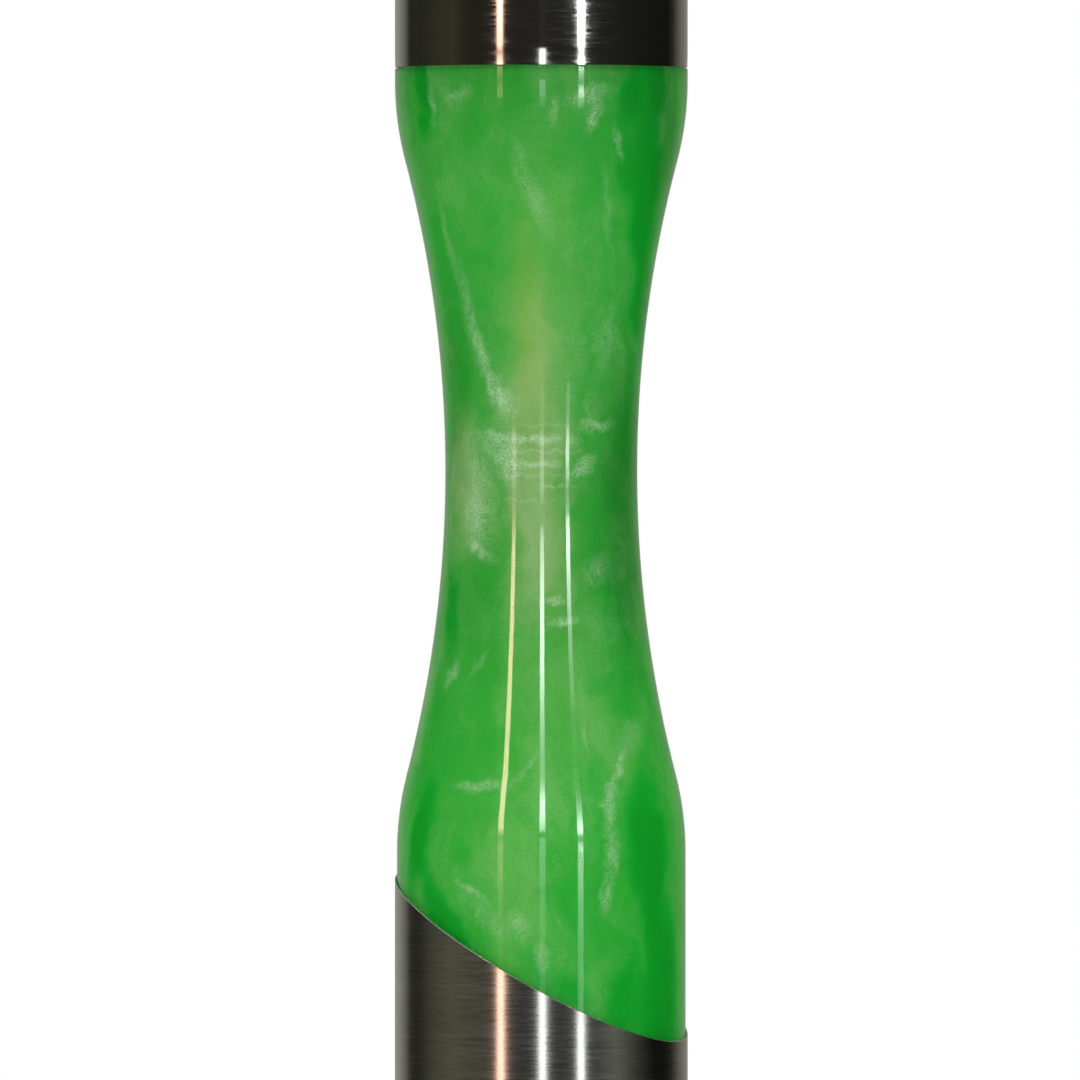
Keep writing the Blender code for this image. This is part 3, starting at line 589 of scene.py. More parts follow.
def nut_body(name, flats, height, bore, material):
    """A hexagon nut standing on the origin with chamfered corners and a threaded bore."""
    corner, pitch = flats / 2 / math.cos(math.pi / 6), height / 5
    outline = [(bore, 0), (flats / 2, 0), (corner, height * 0.14), (corner, height * 0.86)]
    outline += [(flats / 2, height), (bore, height)]
    for step in range(4, 0, -1):
        outline += [(bore + pitch / 3, (step + 0.5) * pitch), (bore, step * pitch)]
    piece = turned(name, outline, material, segments=MEDIUM, ease=0, smooth_angle=32)
    bm = bmesh.new()
    hexagon = [tuple(polar(corner, math.radians(60 * i + 30)).xy) for i in range(6)]
    add_prism(bm, hexagon, -height, 2 * height)
    return carve(piece, bm, "INTERSECT")


def make_nut(name, node, material, angle=0.0):
    low, high = reach(node)
    piece = nut_body(name, NUT_FLATS, high - low, NUT_BORE, material)
    piece.location = (middle(node).x, middle(node).y, low)
    piece.rotation_euler.z = angle
    stand_for(piece, node, "base")


def make_fasteners(material):
    for node in SCREWS + BRACKET_SCREWS + ["earth_screw"]:
        make_screw(node.replace("_", "_pan_", 1), node, material)
        nut = node.replace("screw", "nut")
        at = middle(nut)
        angle = math.atan2(at.y, at.x) if node in SCREWS else 0.0
        make_nut(nut.replace("_", "_hex_", 1), nut, material, angle)


def make_support(material, gasket_material):
    """The tube that carries the vessel, its two flat rings and the silicone gasket on top."""
    inner = SUPPORT_RADIUS - SUPPORT_WALL
    for node, holes in (("support_foot", SCREWS), ("vessel_seat", ())):
        stand_for(flat_ring(f"{node}_ring", node, inner, material, holes), node, "base")
    outline = box_outline(inner, SUPPORT_RADIUS, *reach("support_tube"))
    piece = turned("support_tube_wall", outline, material, ease=0.0002)
    bm = bmesh.new()
    start, end = (0, inner * 0.9, GLAND_HEIGHT), (0, SUPPORT_RADIUS * 1.1, GLAND_HEIGHT)
    add_rod(bm, start, end, SUPPORT_CORD_HOLE)
    stand_for(carve(piece, bm), "support_tube", "base")
    low, high = reach("seat_gasket")
    outer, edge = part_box("seat_gasket")[1].x, 0.0004
    outline = [(SUPPORT_RADIUS, low), (outer, low), (outer, high - edge), (outer - edge, high)]
    for share in (0.75, 0.5, 0.25):  # three shallow grooves
        groove = SUPPORT_RADIUS + share * (outer - SUPPORT_RADIUS)
        outline += [(groove + edge, high), (groove, high - edge), (groove - edge, high)]
    outline += [(SUPPORT_RADIUS + edge, high), (SUPPORT_RADIUS, high - edge)]
    piece = turned("seat_gasket_ring", outline, gasket_material, ease=0.0001)
    stand_for(piece, "seat_gasket", "base")


def make_gland(material):
    """The cord's outlet: a threaded sleeve with a round lip outside and a nut inside, along Y."""
    start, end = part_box("cord_gland")[0].y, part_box("cord_gland")[1].y
    bore, lip, lip_start, pitch = 0.0032, 0.007, TUBE_RADIUS + GAP, 0.0008
    outline = [(bore + 0.0005, start), (GLAND_RADIUS - 0.0003, start)]
    height = start + pitch / 2
    while height < BORE_RADIUS - pitch:
        outline += [(GLAND_RADIUS, height), (GLAND_RADIUS - 0.00035, height + pitch / 2)]
        height += pitch
    outline += [(GLAND_RADIUS, height), (GLAND_RADIUS, lip_start), (lip, lip_start)]
    outline += arc((lip - 0.0012, end - 0.0012), 0.0012, 0, 90, 8)
    outline += [*arc((bore + 0.0006, end - 0.0006), 0.0006, 90, 180, 6), (bore, start + 0.0005)]
    piece = turned("cord_gland_sleeve", outline, material, segments=MEDIUM, ease=0)
    piece.location.z = GLAND_HEIGHT
    piece.rotation_euler.x = -math.pi / 2
    stand_for(piece, "cord_gland", "base")
    low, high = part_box("gland_nut")
    piece = nut_body("gland_hex_nut", high.x - low.x, high.y - low.y, GLAND_RADIUS + GAP, material)
    piece.location = (0, low.y, GLAND_HEIGHT)
    piece.rotation_euler.x = -math.pi / 2
    stand_for(piece, "gland_nut", "base")


# ---- socket and wiring ----
def make_bracket(material):
    """A hat-shaped strip: two feet on the plate, two risers and a platform under the socket."""
    low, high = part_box("socket_bracket")
    sheet, platform = 0.001, 0.0155
    step = high.z - low.z - sheet
    half = [(high.x, 0), (high.x, sheet), (platform + sheet, sheet), (platform, step + sheet)]
    under = [(platform - sheet, step), (platform, 0)]
    outline = half + [(-x, z) for x, z in reversed(half)] + [(-x, z) for x, z in reversed(under)] + under
    piece = bent_strip("socket_bracket_strip", outline, "socket_bracket", 0.00018, material)
    stand_for(drill(piece, BRACKET_SCREWS), "socket_bracket", "base")


def make_socket(porcelain, brass):
    """The porcelain body with its waist, the brass thread in it and the leaf contact on its floor."""
    low, high = reach("lamp_socket")
    radius, bore, floor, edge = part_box("lamp_socket")[1].x, 0.0098, low + 0.003, 0.001
    waist_low, waist_high = low + 0.35 * (high - low), low + 0.6 * (high - low)
    outline = [
        (0, low),
        *arc((radius - edge, low + edge), edge, -90, 0, 6),
        (radius, waist_low),
        (radius - 0.0005, waist_low + 0.0005),
        (radius - 0.0005, waist_high - 0.0005),
        (radius, waist_high),
        *arc((radius - edge, high - edge), edge, 0, 90, 6),
        *arc((bore + 0.0006, high - 0.0006), 0.0006, 90, 180, 5),
        (bore, floor),
        (0, floor),
    ]
    piece = turned("porcelain_socket", outline, porcelain, segments=MEDIUM)
    stand_for(piece, "lamp_socket", "base")
    low, high = reach("socket_thread_shell")
    piece = threaded("socket_thread", bore - GAP - 0.0009, bore - GAP, high, low, brass)
    stand_for(piece, "socket_thread_shell", "base")
    low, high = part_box("socket_contact")
    rise, thick = high.z - low.z, 0.0004
    path = [(low.x, thick), (low.x * 0.2, thick), (high.x * 0.35, rise), (high.x * 0.7, rise)]
    path += [(high.x, rise * 0.7)]
    leaf = path + [(x, z - thick) for x, z in reversed(path)]
    piece = bent_strip("socket_leaf_contact", leaf, "socket_contact", 0.0001, brass)
    stand_for(piece, "socket_contact", "base")


def make_wiring(white, metal, colours):
    """The terminal block with its clamping screws, and the three wires that leave it."""
    low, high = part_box("terminal_block")
    centre, size = (low + high) / 2, high - low
    bm = bmesh.new()
    matrix = Matrix.Translation(centre) @ Matrix.Diagonal((*size, 1))
    bmesh.ops.create_cube(bm, size=1, matrix=matrix)
    bmesh.ops.bevel(bm, geom=bm.edges[:], offset=0.0008, segments=4, affect="EDGES", profile=0.5)
    piece = finished("terminal_block_body", bm, white, metal)
    ways = (-0.0068, 0.0, 0.0068)
    wells = bmesh.new()
    for x in ways:
        add_rod(wells, (x, centre.y, high.z - 0.003), (x, centre.y, high.z + 0.001), 0.0021)
        for side in (-1, 1):
            mouth = centre.y + side * size.y / 2
            start, end = (x, mouth - side * 0.0012, centre.z), (x, mouth + side * 0.001, centre.z)
            add_rod(wells, start, end, 0.0013)
    carve(piece, wells)
    for face in piece.data.polygons:
        deep = abs(face.center.z - (high.z - 0.003)) < 1e-5
        face.material_index = 1 if deep else 0
    stand_for(piece, "terminal_block", "base")
    front, back = low.y - GAP, high.y + GAP
    side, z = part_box("lamp_socket")[1].x + GAP, centre.z
    live = [(ways[0], front, z), (ways[0], front - 0.003, z), (-0.014, 0.013, z + 0.003)]
    live += [(-side - 0.004, 0.004, 0.017), (-side - 0.002, 0, 0.019), (-side, 0, 0.019)]
    earth_x, earth_y = middle("earth_screw").xy
    tag = (earth_x + 0.0035, earth_y + 0.0005, 0.0088)
    earth = [(ways[0], back, z), (-0.0075, back + 0.003, z), (-0.0135, back + 0.0015, z + 0.001)]
    earth += [(-0.0165, 0.021, 0.0098), (tag[0] + 0.001, tag[1] + 0.003, tag[2] + 0.001), tag]
    routes = {"live": live, "neutral": [(-x, y, z) for x, y, z in live], "earth": earth}
    for name, points in routes.items():
        piece = drawn(f"{name}_wire_lead", [points], 0.0009, colours[name][0])
        stand_for(piece, f"{name}_wire", "base")


# ---- bulb ----
def make_bulb(glass, brass, nickel, black_glass, tungsten):
    low, high = reach("bulb_contact_tip")
    tip = [(0, low), *arc((0.0014, low + 0.001), 0.001, -90, 0, 6), (0.0024, high), (0, high)]
    piece = turned("bulb_solder_tip", tip, nickel, segments=MEDIUM, ease=0)
    stand_for(piece, "bulb_contact_tip", "bulb_carrier")
    low, high = reach("bulb_insulator")
    outline = [(0, low), (0.003, low), (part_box("bulb_insulator")[1].x, high), (0, high)]
    piece = turned("bulb_glass_insulator", outline, black_glass, segments=MEDIUM)
    stand_for(piece, "bulb_insulator", "bulb_carrier")
    shell_low, shell_high = reach("bulb_screw_shell")
    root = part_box("bulb_screw_shell")[1].x - THREAD_DEPTH
    piece = threaded("bulb_thread", root, root - GAP, shell_low, shell_high, brass)
    stand_for(piece, "bulb_screw_shell", "bulb")
    neck = root - GAP - GAP
    bottom, top = reach("bulb_glass")
    equator = top - BULB_RADIUS
    crown = arc((0, equator), BULB_RADIUS, 90, -40, 40)
    crown_inside = arc((0, equator), BULB_RADIUS - BULB_WALL, 90, -40, 40)
    waist = s_curve((neck, shell_high + 0.001), crown[-1], 0.006, 16)[:-1]
    outline = [(neck - BULB_WALL, bottom), (neck, bottom), *waist, *reversed(crown), *crown_inside]
    outline += [(radius - BULB_WALL, height) for radius, height in reversed(waist)]
    piece = turned("bulb_envelope", outline, glass, segments=MEDIUM, ease=0)
    stand_for(piece, "bulb_glass", "bulb")
    low, high = reach("bulb_stem")
    outline = [(0, low), (0.0055, low), *s_curve((0.0055, low + 0.0005), (0.0024, low + 0.007), 0.003, 10)]
    outline += [(0.002, high - 0.001), (0.0012, high), (0, high)]
    piece = turned("bulb_stem_glass", outline, glass, segments=MEDIUM)
    stand_for(piece, "bulb_stem", "bulb")
    low, high = reach("bulb_filament")
    half, turns, coil_radius, coil = 0.0065, 26, 0.0004, []
    post = [(-0.0012, 0, low), (-0.004, 0, low + 0.005), (-half, 0, high - 0.006), (-half, 0, high - 0.001)]
    for i in range(turns * 8 + 1):
        share = i / (turns * 8)
        x, sway = -half + 2 * half * share, 0.0006 * math.sin(math.pi * share)
        y, z = polar(coil_radius, 2 * math.pi * turns * share).xy
        coil.append((x, y, high - 0.0012 - sway + z, 0.35))
    runs = [post, [(-x, y, z) for x, y, z in post], coil]
    stand_for(drawn("bulb_coil_and_posts", runs, 0.00022, tungsten), "bulb_filament", "bulb")


# ---- vessel ----
def flank(end_radius, inset, side, fineness):
    """The vessel's side from its waist to where it stands upright, below (-1) or above (+1)."""
    both = WAIST_ARC + SHOULDER_ARC
    turn = math.degrees(math.acos(1 - (end_radius - WAIST_RADIUS) / both))
    concave = arc((WAIST_RADIUS + WAIST_ARC, 0), WAIST_ARC + inset, 180, 180 - turn, 24 * fineness)
    rise = both * math.sin(math.radians(turn))
    convex = arc((end_radius - SHOULDER_ARC, rise), SHOULDER_ARC - inset, -turn, 0, 12 * fineness)
    return [(radius, WAIST_HEIGHT + side * height) for radius, height in concave + convex[1:]]


def body_line(inset, fineness=2):
    """The side's outline from bottom to top, inset into the wall."""
    lower = flank(GLASS_LOWER_RADIUS, inset, -1, fineness)
    upper = flank(TUBE_RADIUS, inset, 1, fineness)
    return list(reversed(lower)) + upper[1:]


def skin_radius(height):
    """The vessel's outer radius at a height."""
    outline = body_line(0.0, 1)
    for (r0, z0), (r1, z1) in zip(outline[:-1], outline[1:]):
        if z0 <= height <= z1:
            return r0 + (r1 - r0) * (height - z0) / (z1 - z0)
    return outline[0][0] if height < outline[0][1] else outline[-1][0]


def vessel_inside(inset):
    """The cavity's outline from the bottom's centre to the shoulder's foot."""
    depth = inset + 0.0004
    fillet = HEEL_FILLET - inset
    floor = VESSEL_BOTTOM + depth
    heel = arc((GLASS_LOWER_RADIUS - HEEL_FILLET, floor + fillet), fillet, -90, 0, 10)
    side = body_line(inset)
    top = (side[-1][0], COLLAR_TOP - 0.003)
    return [(0, floor + PUNT_RISE), (HEEL_RING_RADIUS * 0.5, floor + PUNT_RISE * 0.75), *heel, *side, top]


def make_vessel(material):
    """The hourglass bottle: punted bottom, heel, shoulder, neck, bead and lip, and its cavity."""
    heel = arc((GLASS_LOWER_RADIUS - HEEL_FILLET, VESSEL_BOTTOM + HEEL_FILLET), HEEL_FILLET, -90, 0, 10)
    outer = [
        (0, VESSEL_BOTTOM + PUNT_RISE),
        (HEEL_RING_RADIUS * 0.5, VESSEL_BOTTOM + PUNT_RISE * 0.75),
        (HEEL_RING_RADIUS, VESSEL_BOTTOM),
        *heel,
        *body_line(0.0),
        (TUBE_RADIUS, CAP_RIM - GAP),
        (COLLAR_RADIUS, CAP_RIM - GAP),
        *s_curve((COLLAR_RADIUS, COLLAR_TOP), (NECK_RADIUS, NECK_START), NECK_PULL, 20),
    ]
    bead, groove = 0.0145, 0.0123
    mouth = [(NECK_RADIUS, 0.0115), (bead, 0.0105), (bead, 0.0080), (groove, 0.0068), (groove, 0.0040)]
    mouth += [(LIP_RADIUS, 0.0030), (LIP_RADIUS, 0.0008), (LIP_RADIUS - 0.0010, 0)]
    mouth += [(NECK_BORE + 0.0006, 0), (NECK_BORE, 0.0006)]
    mouth = [(radius, VESSEL_TOP - drop) for radius, drop in mouth]
    inner = vessel_inside(GLASS_WALL)
    inner = inner[:-1] + s_curve(inner[-1], (NECK_BORE, NECK_START), NECK_PULL, 20)
    piece = turned("vessel_glass", [*outer, *mouth, *reversed(inner)], material)
    stand_for(piece, "glass_vessel", "vessel")


def make_fluid(material):
    """The fluid wets the glass, so its skin lies just within the wall's inner face."""
    wet = vessel_inside(GLASS_WALL - FLUID_OVERLAP)
    dome = s_curve(wet[-1], (NECK_BORE, NECK_START), NECK_PULL, 20)
    wet = wet[:-1] + [point for point in dome if point[1] < FLUID_LEVEL]
    wet += [(wet[-1][0] - 0.0004, FLUID_LEVEL), (0, FLUID_LEVEL)]
    stand_for(turned("pearl_fluid_body", wet, material, ease=0), "pearl_fluid", "vessel")


def make_crown(metal, liner_material):
    """The crown closure crimped over the lip, its skirt pressed into flutes, and its sealing disc."""
    low, high = reach("crown_liner")
    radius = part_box("crown_liner")[1].x
    liner = turned("crown_sealing_disc", box_outline(0, radius, low, high), liner_material)
    stand_for(liner, "crown_liner", "vessel")
    low, top = reach("crown_cap")
    outside = [(0, 0), (0.0108, 0), (0.0112, 0.00015), (0.0126, 0.00015), (0.0134, 0.0005)]
    outside += [(0.0139, 0.0012), (0.0143, 0.0022), (0.0146, 0.0033), (0.0150, 0.0046)]
    inside = [(0.0146, 0.0046), (0.0142, 0.0033), (0.0139, 0.0022), (0.0135, 0.0013)]
    inside += [(0.0128, 0.0005), (0, 0.0004)]
    outside, inside = ([(radius, top - drop) for radius, drop in run] for run in (outside, inside))
    bm = spun([*outside, (0.0154, low), (0.0150, low), *inside], 12 * CROWN_FLUTES)
    for vertex in bm.verts:
        drop = max(0.0, top - 0.0015 - vertex.co.z)
        depth = 0.035 * min(1.0, drop / (top - 0.0015 - low))
        vertex.co.xy *= 1 + depth * math.cos(CROWN_FLUTES * math.atan2(vertex.co.y, vertex.co.x))
    stand_for(finished("crown_closure", bm, metal), "crown_cap", "vessel")


# ---- cap ----
def make_cap(side_material, lid_material, ring_material):
    """The cap's tube with its rim spun in, the lid pressed into it and the ring that centres it."""
    curl = 0.00012  # how far the rim is spun in over its last few millimetres
    rim = [(TUBE_RADIUS - curl * (1 - step / 6) ** 2, CAP_RIM + 0.001 * step) for step in range(7)]
    tube = [*rim, (TUBE_RADIUS, CAP_TUBE_TOP), (BORE_RADIUS, CAP_TUBE_TOP), (BORE_RADIUS - curl, CAP_RIM)]
    piece = turned("cap_sleeve_steel", tube, side_material, ease=0.00012)
    stand_for(piece, "cap_sleeve", "cap")
    sheet, radius, edge, skirt = 0.0008, BORE_RADIUS - GAP, 0.0012, reach("cap_lid")[0]
    lid = [
        (0, LAMP_TOP),
        *arc((radius - edge, LAMP_TOP - edge), edge, 90, 0, 10),
        (radius, skirt),
        (radius - sheet, skirt),
        (radius - sheet, LAMP_TOP - edge - sheet),
        (radius - sheet - edge, LAMP_TOP - sheet),
        (0, LAMP_TOP - sheet),
    ]
    stand_for(turned("cap_lid_steel", lid, lid_material), "cap_lid", "cap")
    low, high = reach("cap_liner")
    inner = 0.041
    ring = [(inner, low), (radius, low), (radius, high), (inner + 0.0012, high)]
    stand_for(turned("cap_centring_ring", ring, ring_material), "cap_liner", "cap")


# ---- mica fluid ----
# Patches in the mica fluid, laid on the vessel's front in millimetres: across and height of the middle,
# half length, half width, tilt in degrees from level, and strength. The same patches lie on its back.
DEPTHS_AND_SHEEN = [  # large soft shapes; strength below 0 is darker and clearer, above 0 paler; the tall upright pale bands down the front's middle are painted sheen
    (33, 352, 56, 12, 96, -0.52), (27, 384, 12, 7, 60, -0.40), (35, 322, 30, 8, 78, -0.22),
    (-38, 388, 18, 5, 96, -0.46), (34, 155, 34, 10, 96, -0.46), (38, 112, 44, 13, 90, -0.50),
    (27, 108, 30, 9, 88, -0.26), (-38, 160, 24, 8, 78, -0.42), (-30, 130, 30, 8, 118, -0.40),
    (-29, 226, 20, 6, 84, -0.24), (24, 222, 38, 12, 92, -0.12), (-4, 276, 66, 17, 90, 0.30),
    (-1, 325, 70, 16, 91, 0.20), (-25, 269, 32, 13, 92, 0.42), (2, 205, 66, 18, 90, 0.16),
    (-9, 140, 46, 15, 100, 0.16), (23, 190, 26, 12, 130, 0.14), (-24, 175, 24, 10, 60, 0.06),
    (6, 392, 26, 8, 20, 0.05), (0, 254, 36, 20, 90, 0.18), (25, 366, 16, 6, 95, -0.30),
    (37, 388, 14, 7, 100, -0.35), (6, 113, 18, 7, 146, -0.20),
]
PAINTED_SHADOWS = [  # painted shadows: where the fluid's colour is painted darker and duller, by how much
    (27, 262, 70, 17, 90, 0.30), (-27, 294, 50, 10, 90, 0.12), (40, 374, 40, 14, 96, 0.26),
    (26, 396, 30, 8, 0, 0.10),
]
WISPS = [  # whitish curls and veils of flakes
    (-35, 383, 9, 2.2, 98, 0.50), (-27, 386, 9, 2.6, 25, 0.35), (3.5, 381, 7, 1.8, 84, 0.35),
    (15, 386, 11, 4.4, 18, 0.75), (17, 380, 7, 3.0, 70, 1.10), (24, 372, 9, 2.0, 105, 0.55),
    (-6, 362, 15, 3.4, 100, 0.40), (-1, 350, 17, 3.6, 104, 0.45), (21, 351, 20, 2.0, 97, 0.28),
    (-30, 343, 16, 2.4, 104, 0.40), (-24, 322, 26, 4.0, 106, 0.50), (-19, 306, 20, 3.0, 106, 0.80),
    (-13, 294, 10, 4.8, 118, 1.20), (-5, 281, 20, 2.4, 176, 1.10), (-12, 277, 12, 6.5, 150, 1.20),
    (0, 273, 11, 1.6, 2, 1.00), (-11, 271, 8, 6.0, 100, 1.00), (18, 285, 9, 2.8, 5, 0.70),
    (13, 272, 8, 3.4, 40, 1.00), (21, 312, 14, 6.0, 80, 0.34), (-20, 266, 30, 8.5, 94, 0.55),
    (-22, 256, 14, 6.0, 104, 0.60), (-21, 248, 10, 3.0, 145, 0.70), (4, 266, 10, 0.9, 4, 0.55),
    (-1, 285, 13, 0.8, 1, 0.45), (2, 277, 15, 0.8, 179, 0.50), (-2, 269.5, 14, 0.8, 1, 0.45),
    (-5, 262, 14, 0.7, 179, 0.40), (4, 231, 7, 1.6, 178, 1.00), (7, 225, 6, 2.0, 10, 1.10),
    (18, 240, 9, 6.0, 60, 0.45), (-29, 208, 7, 3.2, 62, 0.80), (-20, 212, 8, 1.8, 56, 0.42),
    (-20, 174.5, 12, 2.8, 0, 0.95), (-5, 180, 14, 1.3, 52, 0.42), (14, 190, 7, 1.5, 96, 0.60),
    (29, 190, 14, 6.5, 40, 0.30), (25, 180, 10, 2.4, 68, 0.85), (22, 169, 14, 3.4, 80, 0.75),
    (22.5, 155, 13, 4.0, 92, 0.80), (21, 141, 9, 3.2, 90, 0.75), (-23, 143, 10, 2.0, 150, 0.60),
    (-18, 135, 14, 5.5, 140, 0.42), (-7, 132, 9, 3.6, 118, 0.62), (0, 122, 6, 3.0, 100, 0.62),
]

WISP_COLOUR = (0.62, 0.84, 0.56)
# The warm tint of the painted reflections of the lamps in the flakes.
PAINTED_REFLECTION_TINT = (0.60, 0.62, 0.08)
PAINTED_REFLECTION_BANDS = [  # painted reflections of the lamps in the flakes: straight soft bands above the waist
    (-4.5, 312, 56, 6, 91, 0.20),
    (0, 300, 60, 3, 90, 0.10),
]
GREENS = [
    (0.0, (0.0004, 0.415, 0.022)),
    (0.14, (0.0008, 0.450, 0.024)),
    (0.30, (0.0060, 0.490, 0.034)),
    (0.50, (0.050, 0.530, 0.054)),
    (0.75, (0.175, 0.590, 0.115)),
    (1.0, (0.400, 0.690, 0.260)),
]
PAINTED_SHADE_BY_HEIGHT = [  # height, and how bright the fluid's colour is painted there: painted shade by height
    (0.10, 1.0), (0.16, 1.0), (0.20, 0.95), (0.23, 0.84),
    (0.27, 0.80), (0.31, 0.90), (0.355, 0.96), (0.39, 0.80),
]
BACK_SHIFT = 0.013  # how much higher the patches lie on the vessel's back


def folded_compass(s, place):
    """The angle round the axis from the front's or the back's middle, and 1 on the back or 0."""
    angle = s.compass(place)
    around = s.math("WRAP", angle, math.pi / 2, -math.pi / 2)
    return around, s.math("GREATER_THAN", s.math("ABSOLUTE", angle), math.pi / 2)


def patches(s, skin, table, flat):
    """The summed strengths of soft oval patches, each even over a flat share of its half width."""
    total = None
    for across, height, half_length, half_width, tilt, strength in table:
        outer = skin_radius(height / 1000)
        along = (outer - GLASS_WALL) * math.asin(max(-0.98, min(0.98, across / 1000 / outer)))
        inputs = {"Vector": skin, "Location": (along, height / 1000, 0)}
        inputs["Rotation"] = (0, 0, math.radians(tilt))
        inputs["Scale"] = (half_length / 1000, half_width / 1000, 1)
        oval = s.add("ShaderNodeMapping", inputs, vector_type="TEXTURE")
        share = s.remap(s.length(oval.outputs["Vector"]), 1.0, flat, 0.0, strength, "SMOOTHSTEP")
        total = share if total is None else s.math("ADD", total, share)
    return total


def pearl_fluid():
    """Green fluid full of mica flakes: drifting depths, granular whitish wisps and a drawn-out gloss, with
    painted sheen, painted reflections, painted shadows and painted shade by height in its colour.
    """
    s = Shader("pearl_fluid")
    place = s.position()
    around, back = folded_compass(s, place)
    level = s.split(place)[2]
    radius = s.length(s.position((1, 1, 0)))
    skin = s.add("ShaderNodeCombineXYZ", {"X": s.math("MULTIPLY", around, radius)})
    s.plug(skin.inputs["Y"], s.math("ADD", level, s.math("MULTIPLY", back, BACK_SHIFT)))
    slow = s.noise(place, 48.0, detail=2.0, output="Color")
    quick = s.noise(place, 260.0, detail=2.0, output="Color")
    drift = s.vector("MULTIPLY", s.vector("SUBTRACT", slow, (0.5, 0.5, 0.5)), (0.016, 0.016, 0.0))
    curl = s.vector("MULTIPLY", s.vector("SUBTRACT", quick, (0.5, 0.5, 0.5)), (0.004, 0.004, 0.0))
    drifting = s.vector("ADD", skin.outputs["Vector"], drift)
    curling = s.vector("ADD", skin.outputs["Vector"], s.vector("MULTIPLY", drift, (0.25, 0.25, 0.25)))
    curling = s.vector("ADD", curling, curl)
    stretched = s.vector("ADD", s.position((1, 1, 0.45)), s.vector("MULTIPLY", drift, (1.5, 1.5, 1.5)))
    clouds = s.noise(stretched, 55.0, detail=5.0, roughness=0.55)
    threads = s.noise(s.vector("MULTIPLY", stretched, (1, 1, 0.6)), 330.0, detail=4.0, roughness=0.65)
    flakes = s.noise(place, 2500.0, detail=2.0, roughness=0.8)
    # The depths, with the painted sheen down the middle, and the clouds set the fluid's tone.
    tone = s.math("ADD", patches(s, drifting, DEPTHS_AND_SHEEN, 0.25), s.remap(clouds, 0.3, 0.7, 0.39, 0.58))
    dense = s.remap(tone, 0.20, 0.50, kind="SMOOTHSTEP")
    tone = s.math("ADD", tone, s.remap(threads, 0.3, 0.7, -0.03, 0.03))
    tone = s.math("ADD", tone, s.remap(flakes, 0.25, 0.75, -0.11, 0.11), clamp=True)
    # Painted reflections of the lamps, in a warm tint, mixed into the green.
    green = s.mix(patches(s, skin.outputs["Vector"], PAINTED_REFLECTION_BANDS, 0.1), s.ramp(tone, GREENS), PAINTED_REFLECTION_TINT)
    # Painted shade by height and painted shadows darken the green.
    painted_height_shade = s.ramp(level, [(height, grey(value)) for height, value in PAINTED_SHADE_BY_HEIGHT])
    lit = s.math("MULTIPLY", painted_height_shade, s.math("SUBTRACT", 1.0, patches(s, drifting, PAINTED_SHADOWS, 0.2)))
    green = s.vector("MULTIPLY", green, lit)
    loose = s.math("MULTIPLY", s.remap(clouds, 0.45, 0.7), s.math("MULTIPLY", dense, 0.16))
    speckle = s.math("ADD", s.math("MULTIPLY", flakes, 0.65), s.math("MULTIPLY", threads, 0.35))
    veil = s.math("ADD", patches(s, curling, WISPS, 0.0), loose)
    veil = s.math("MULTIPLY", veil, s.remap(speckle, 0.38, 0.64, 0.0, 0.95), clamp=True)
    s.set(Base_Color=s.mix(veil, green, WISP_COLOUR), Roughness=0.36, Specular_IOR_Level=0.12)
    s.brush_round(0.85)
    return s.material


# ---- studio ----
# How bright the room looks in gloss, by compass degrees: straight out, and above or below that.
LEVEL_ROOM = [
    (-180, 0.36), (-152, 0.32), (-138, 0.20), (-128, 0.03), (-112, 0.03),
    (-75, 0.05), (-58, 0.025), (0, 0.025), (60, 0.020), (100, 0.012),
    (120, 0.010), (128, 0.034), (142, 0.17), (180, 0.36),
]
TILTED_ROOM = [
    (-180, 0.34), (-152, 0.26), (-138, 0.16), (-127, 0.012), (-118, 0.018),
    (-99, 0.12), (-77, 0.16), (-50, 0.09), (-12, 0.03), (12, 0.03),
    (46, 0.07), (63, 0.24), (82, 0.10), (100, 0.006), (118, 0.002),
    (128, 0.018), (143, 0.16), (180, 0.32),
]
ROOM_TINT = [  # the room's colour in gloss, by compass degrees
    (-180, (1.0, 1.0, 0.93)),
    (-118, (0.97, 1.0, 0.85)),
    (-90, (1.0, 1.02, 0.68)),
    (-50, (1.0, 0.98, 0.72)),
    (-20, (1.0, 0.98, 0.92)),
    (35, (0.97, 1.0, 1.0)),
    (60, (0.97, 1.02, 0.86)),
    (130, (1.0, 1.0, 0.82)),
    (180, (1.0, 1.0, 0.93)),
]
CEILING = 0.65
SOFT_LIGHT = (0.70, 1.30)  # how bright the room looks to matt surfaces, from below and from above


def make_world():
    """White to the camera, soft and even for matt surfaces, and a dark room with a lit back for gloss."""
    world = bpy.data.worlds.new("studio")
    bpy.context.scene.world = world
    world.use_nodes = True
    n = Nodes(world.node_tree)
    direction = n.position(output="Generated")
    rise = n.split(direction)[2]
    around = n.remap(n.compass(direction), -math.pi, math.pi)
    greys = [[(bearing, grey(value)) for bearing, value in room] for room in (LEVEL_ROOM, TILTED_ROOM)]
    level, tilted, tint = (
        n.ramp(around, [((bearing + 180) / 360, colour) for bearing, colour in room])
        for room in (*greys, ROOM_TINT)
    )
    room = n.mix(n.remap(n.math("ABSOLUTE", rise), 0.07, 0.24, kind="SMOOTHSTEP"), level, tilted)
    room = n.vector("MULTIPLY", room, tint)
    room = n.mix(n.remap(rise, 0.6, 0.9, kind="SMOOTHSTEP"), room, grey(CEILING))
    path = n.add("ShaderNodeLightPath", {})
    matt = n.math("MINIMUM", path.outputs["Diffuse Depth"], 1.0)
    shade = n.remap(rise, -1.0, 1.0, *SOFT_LIGHT)
    seen = n.mix(path.outputs["Is Camera Ray"], n.mix(matt, room, shade), grey(1.0))
    n.links.new(seen, n.nodes["Background"].inputs["Color"])


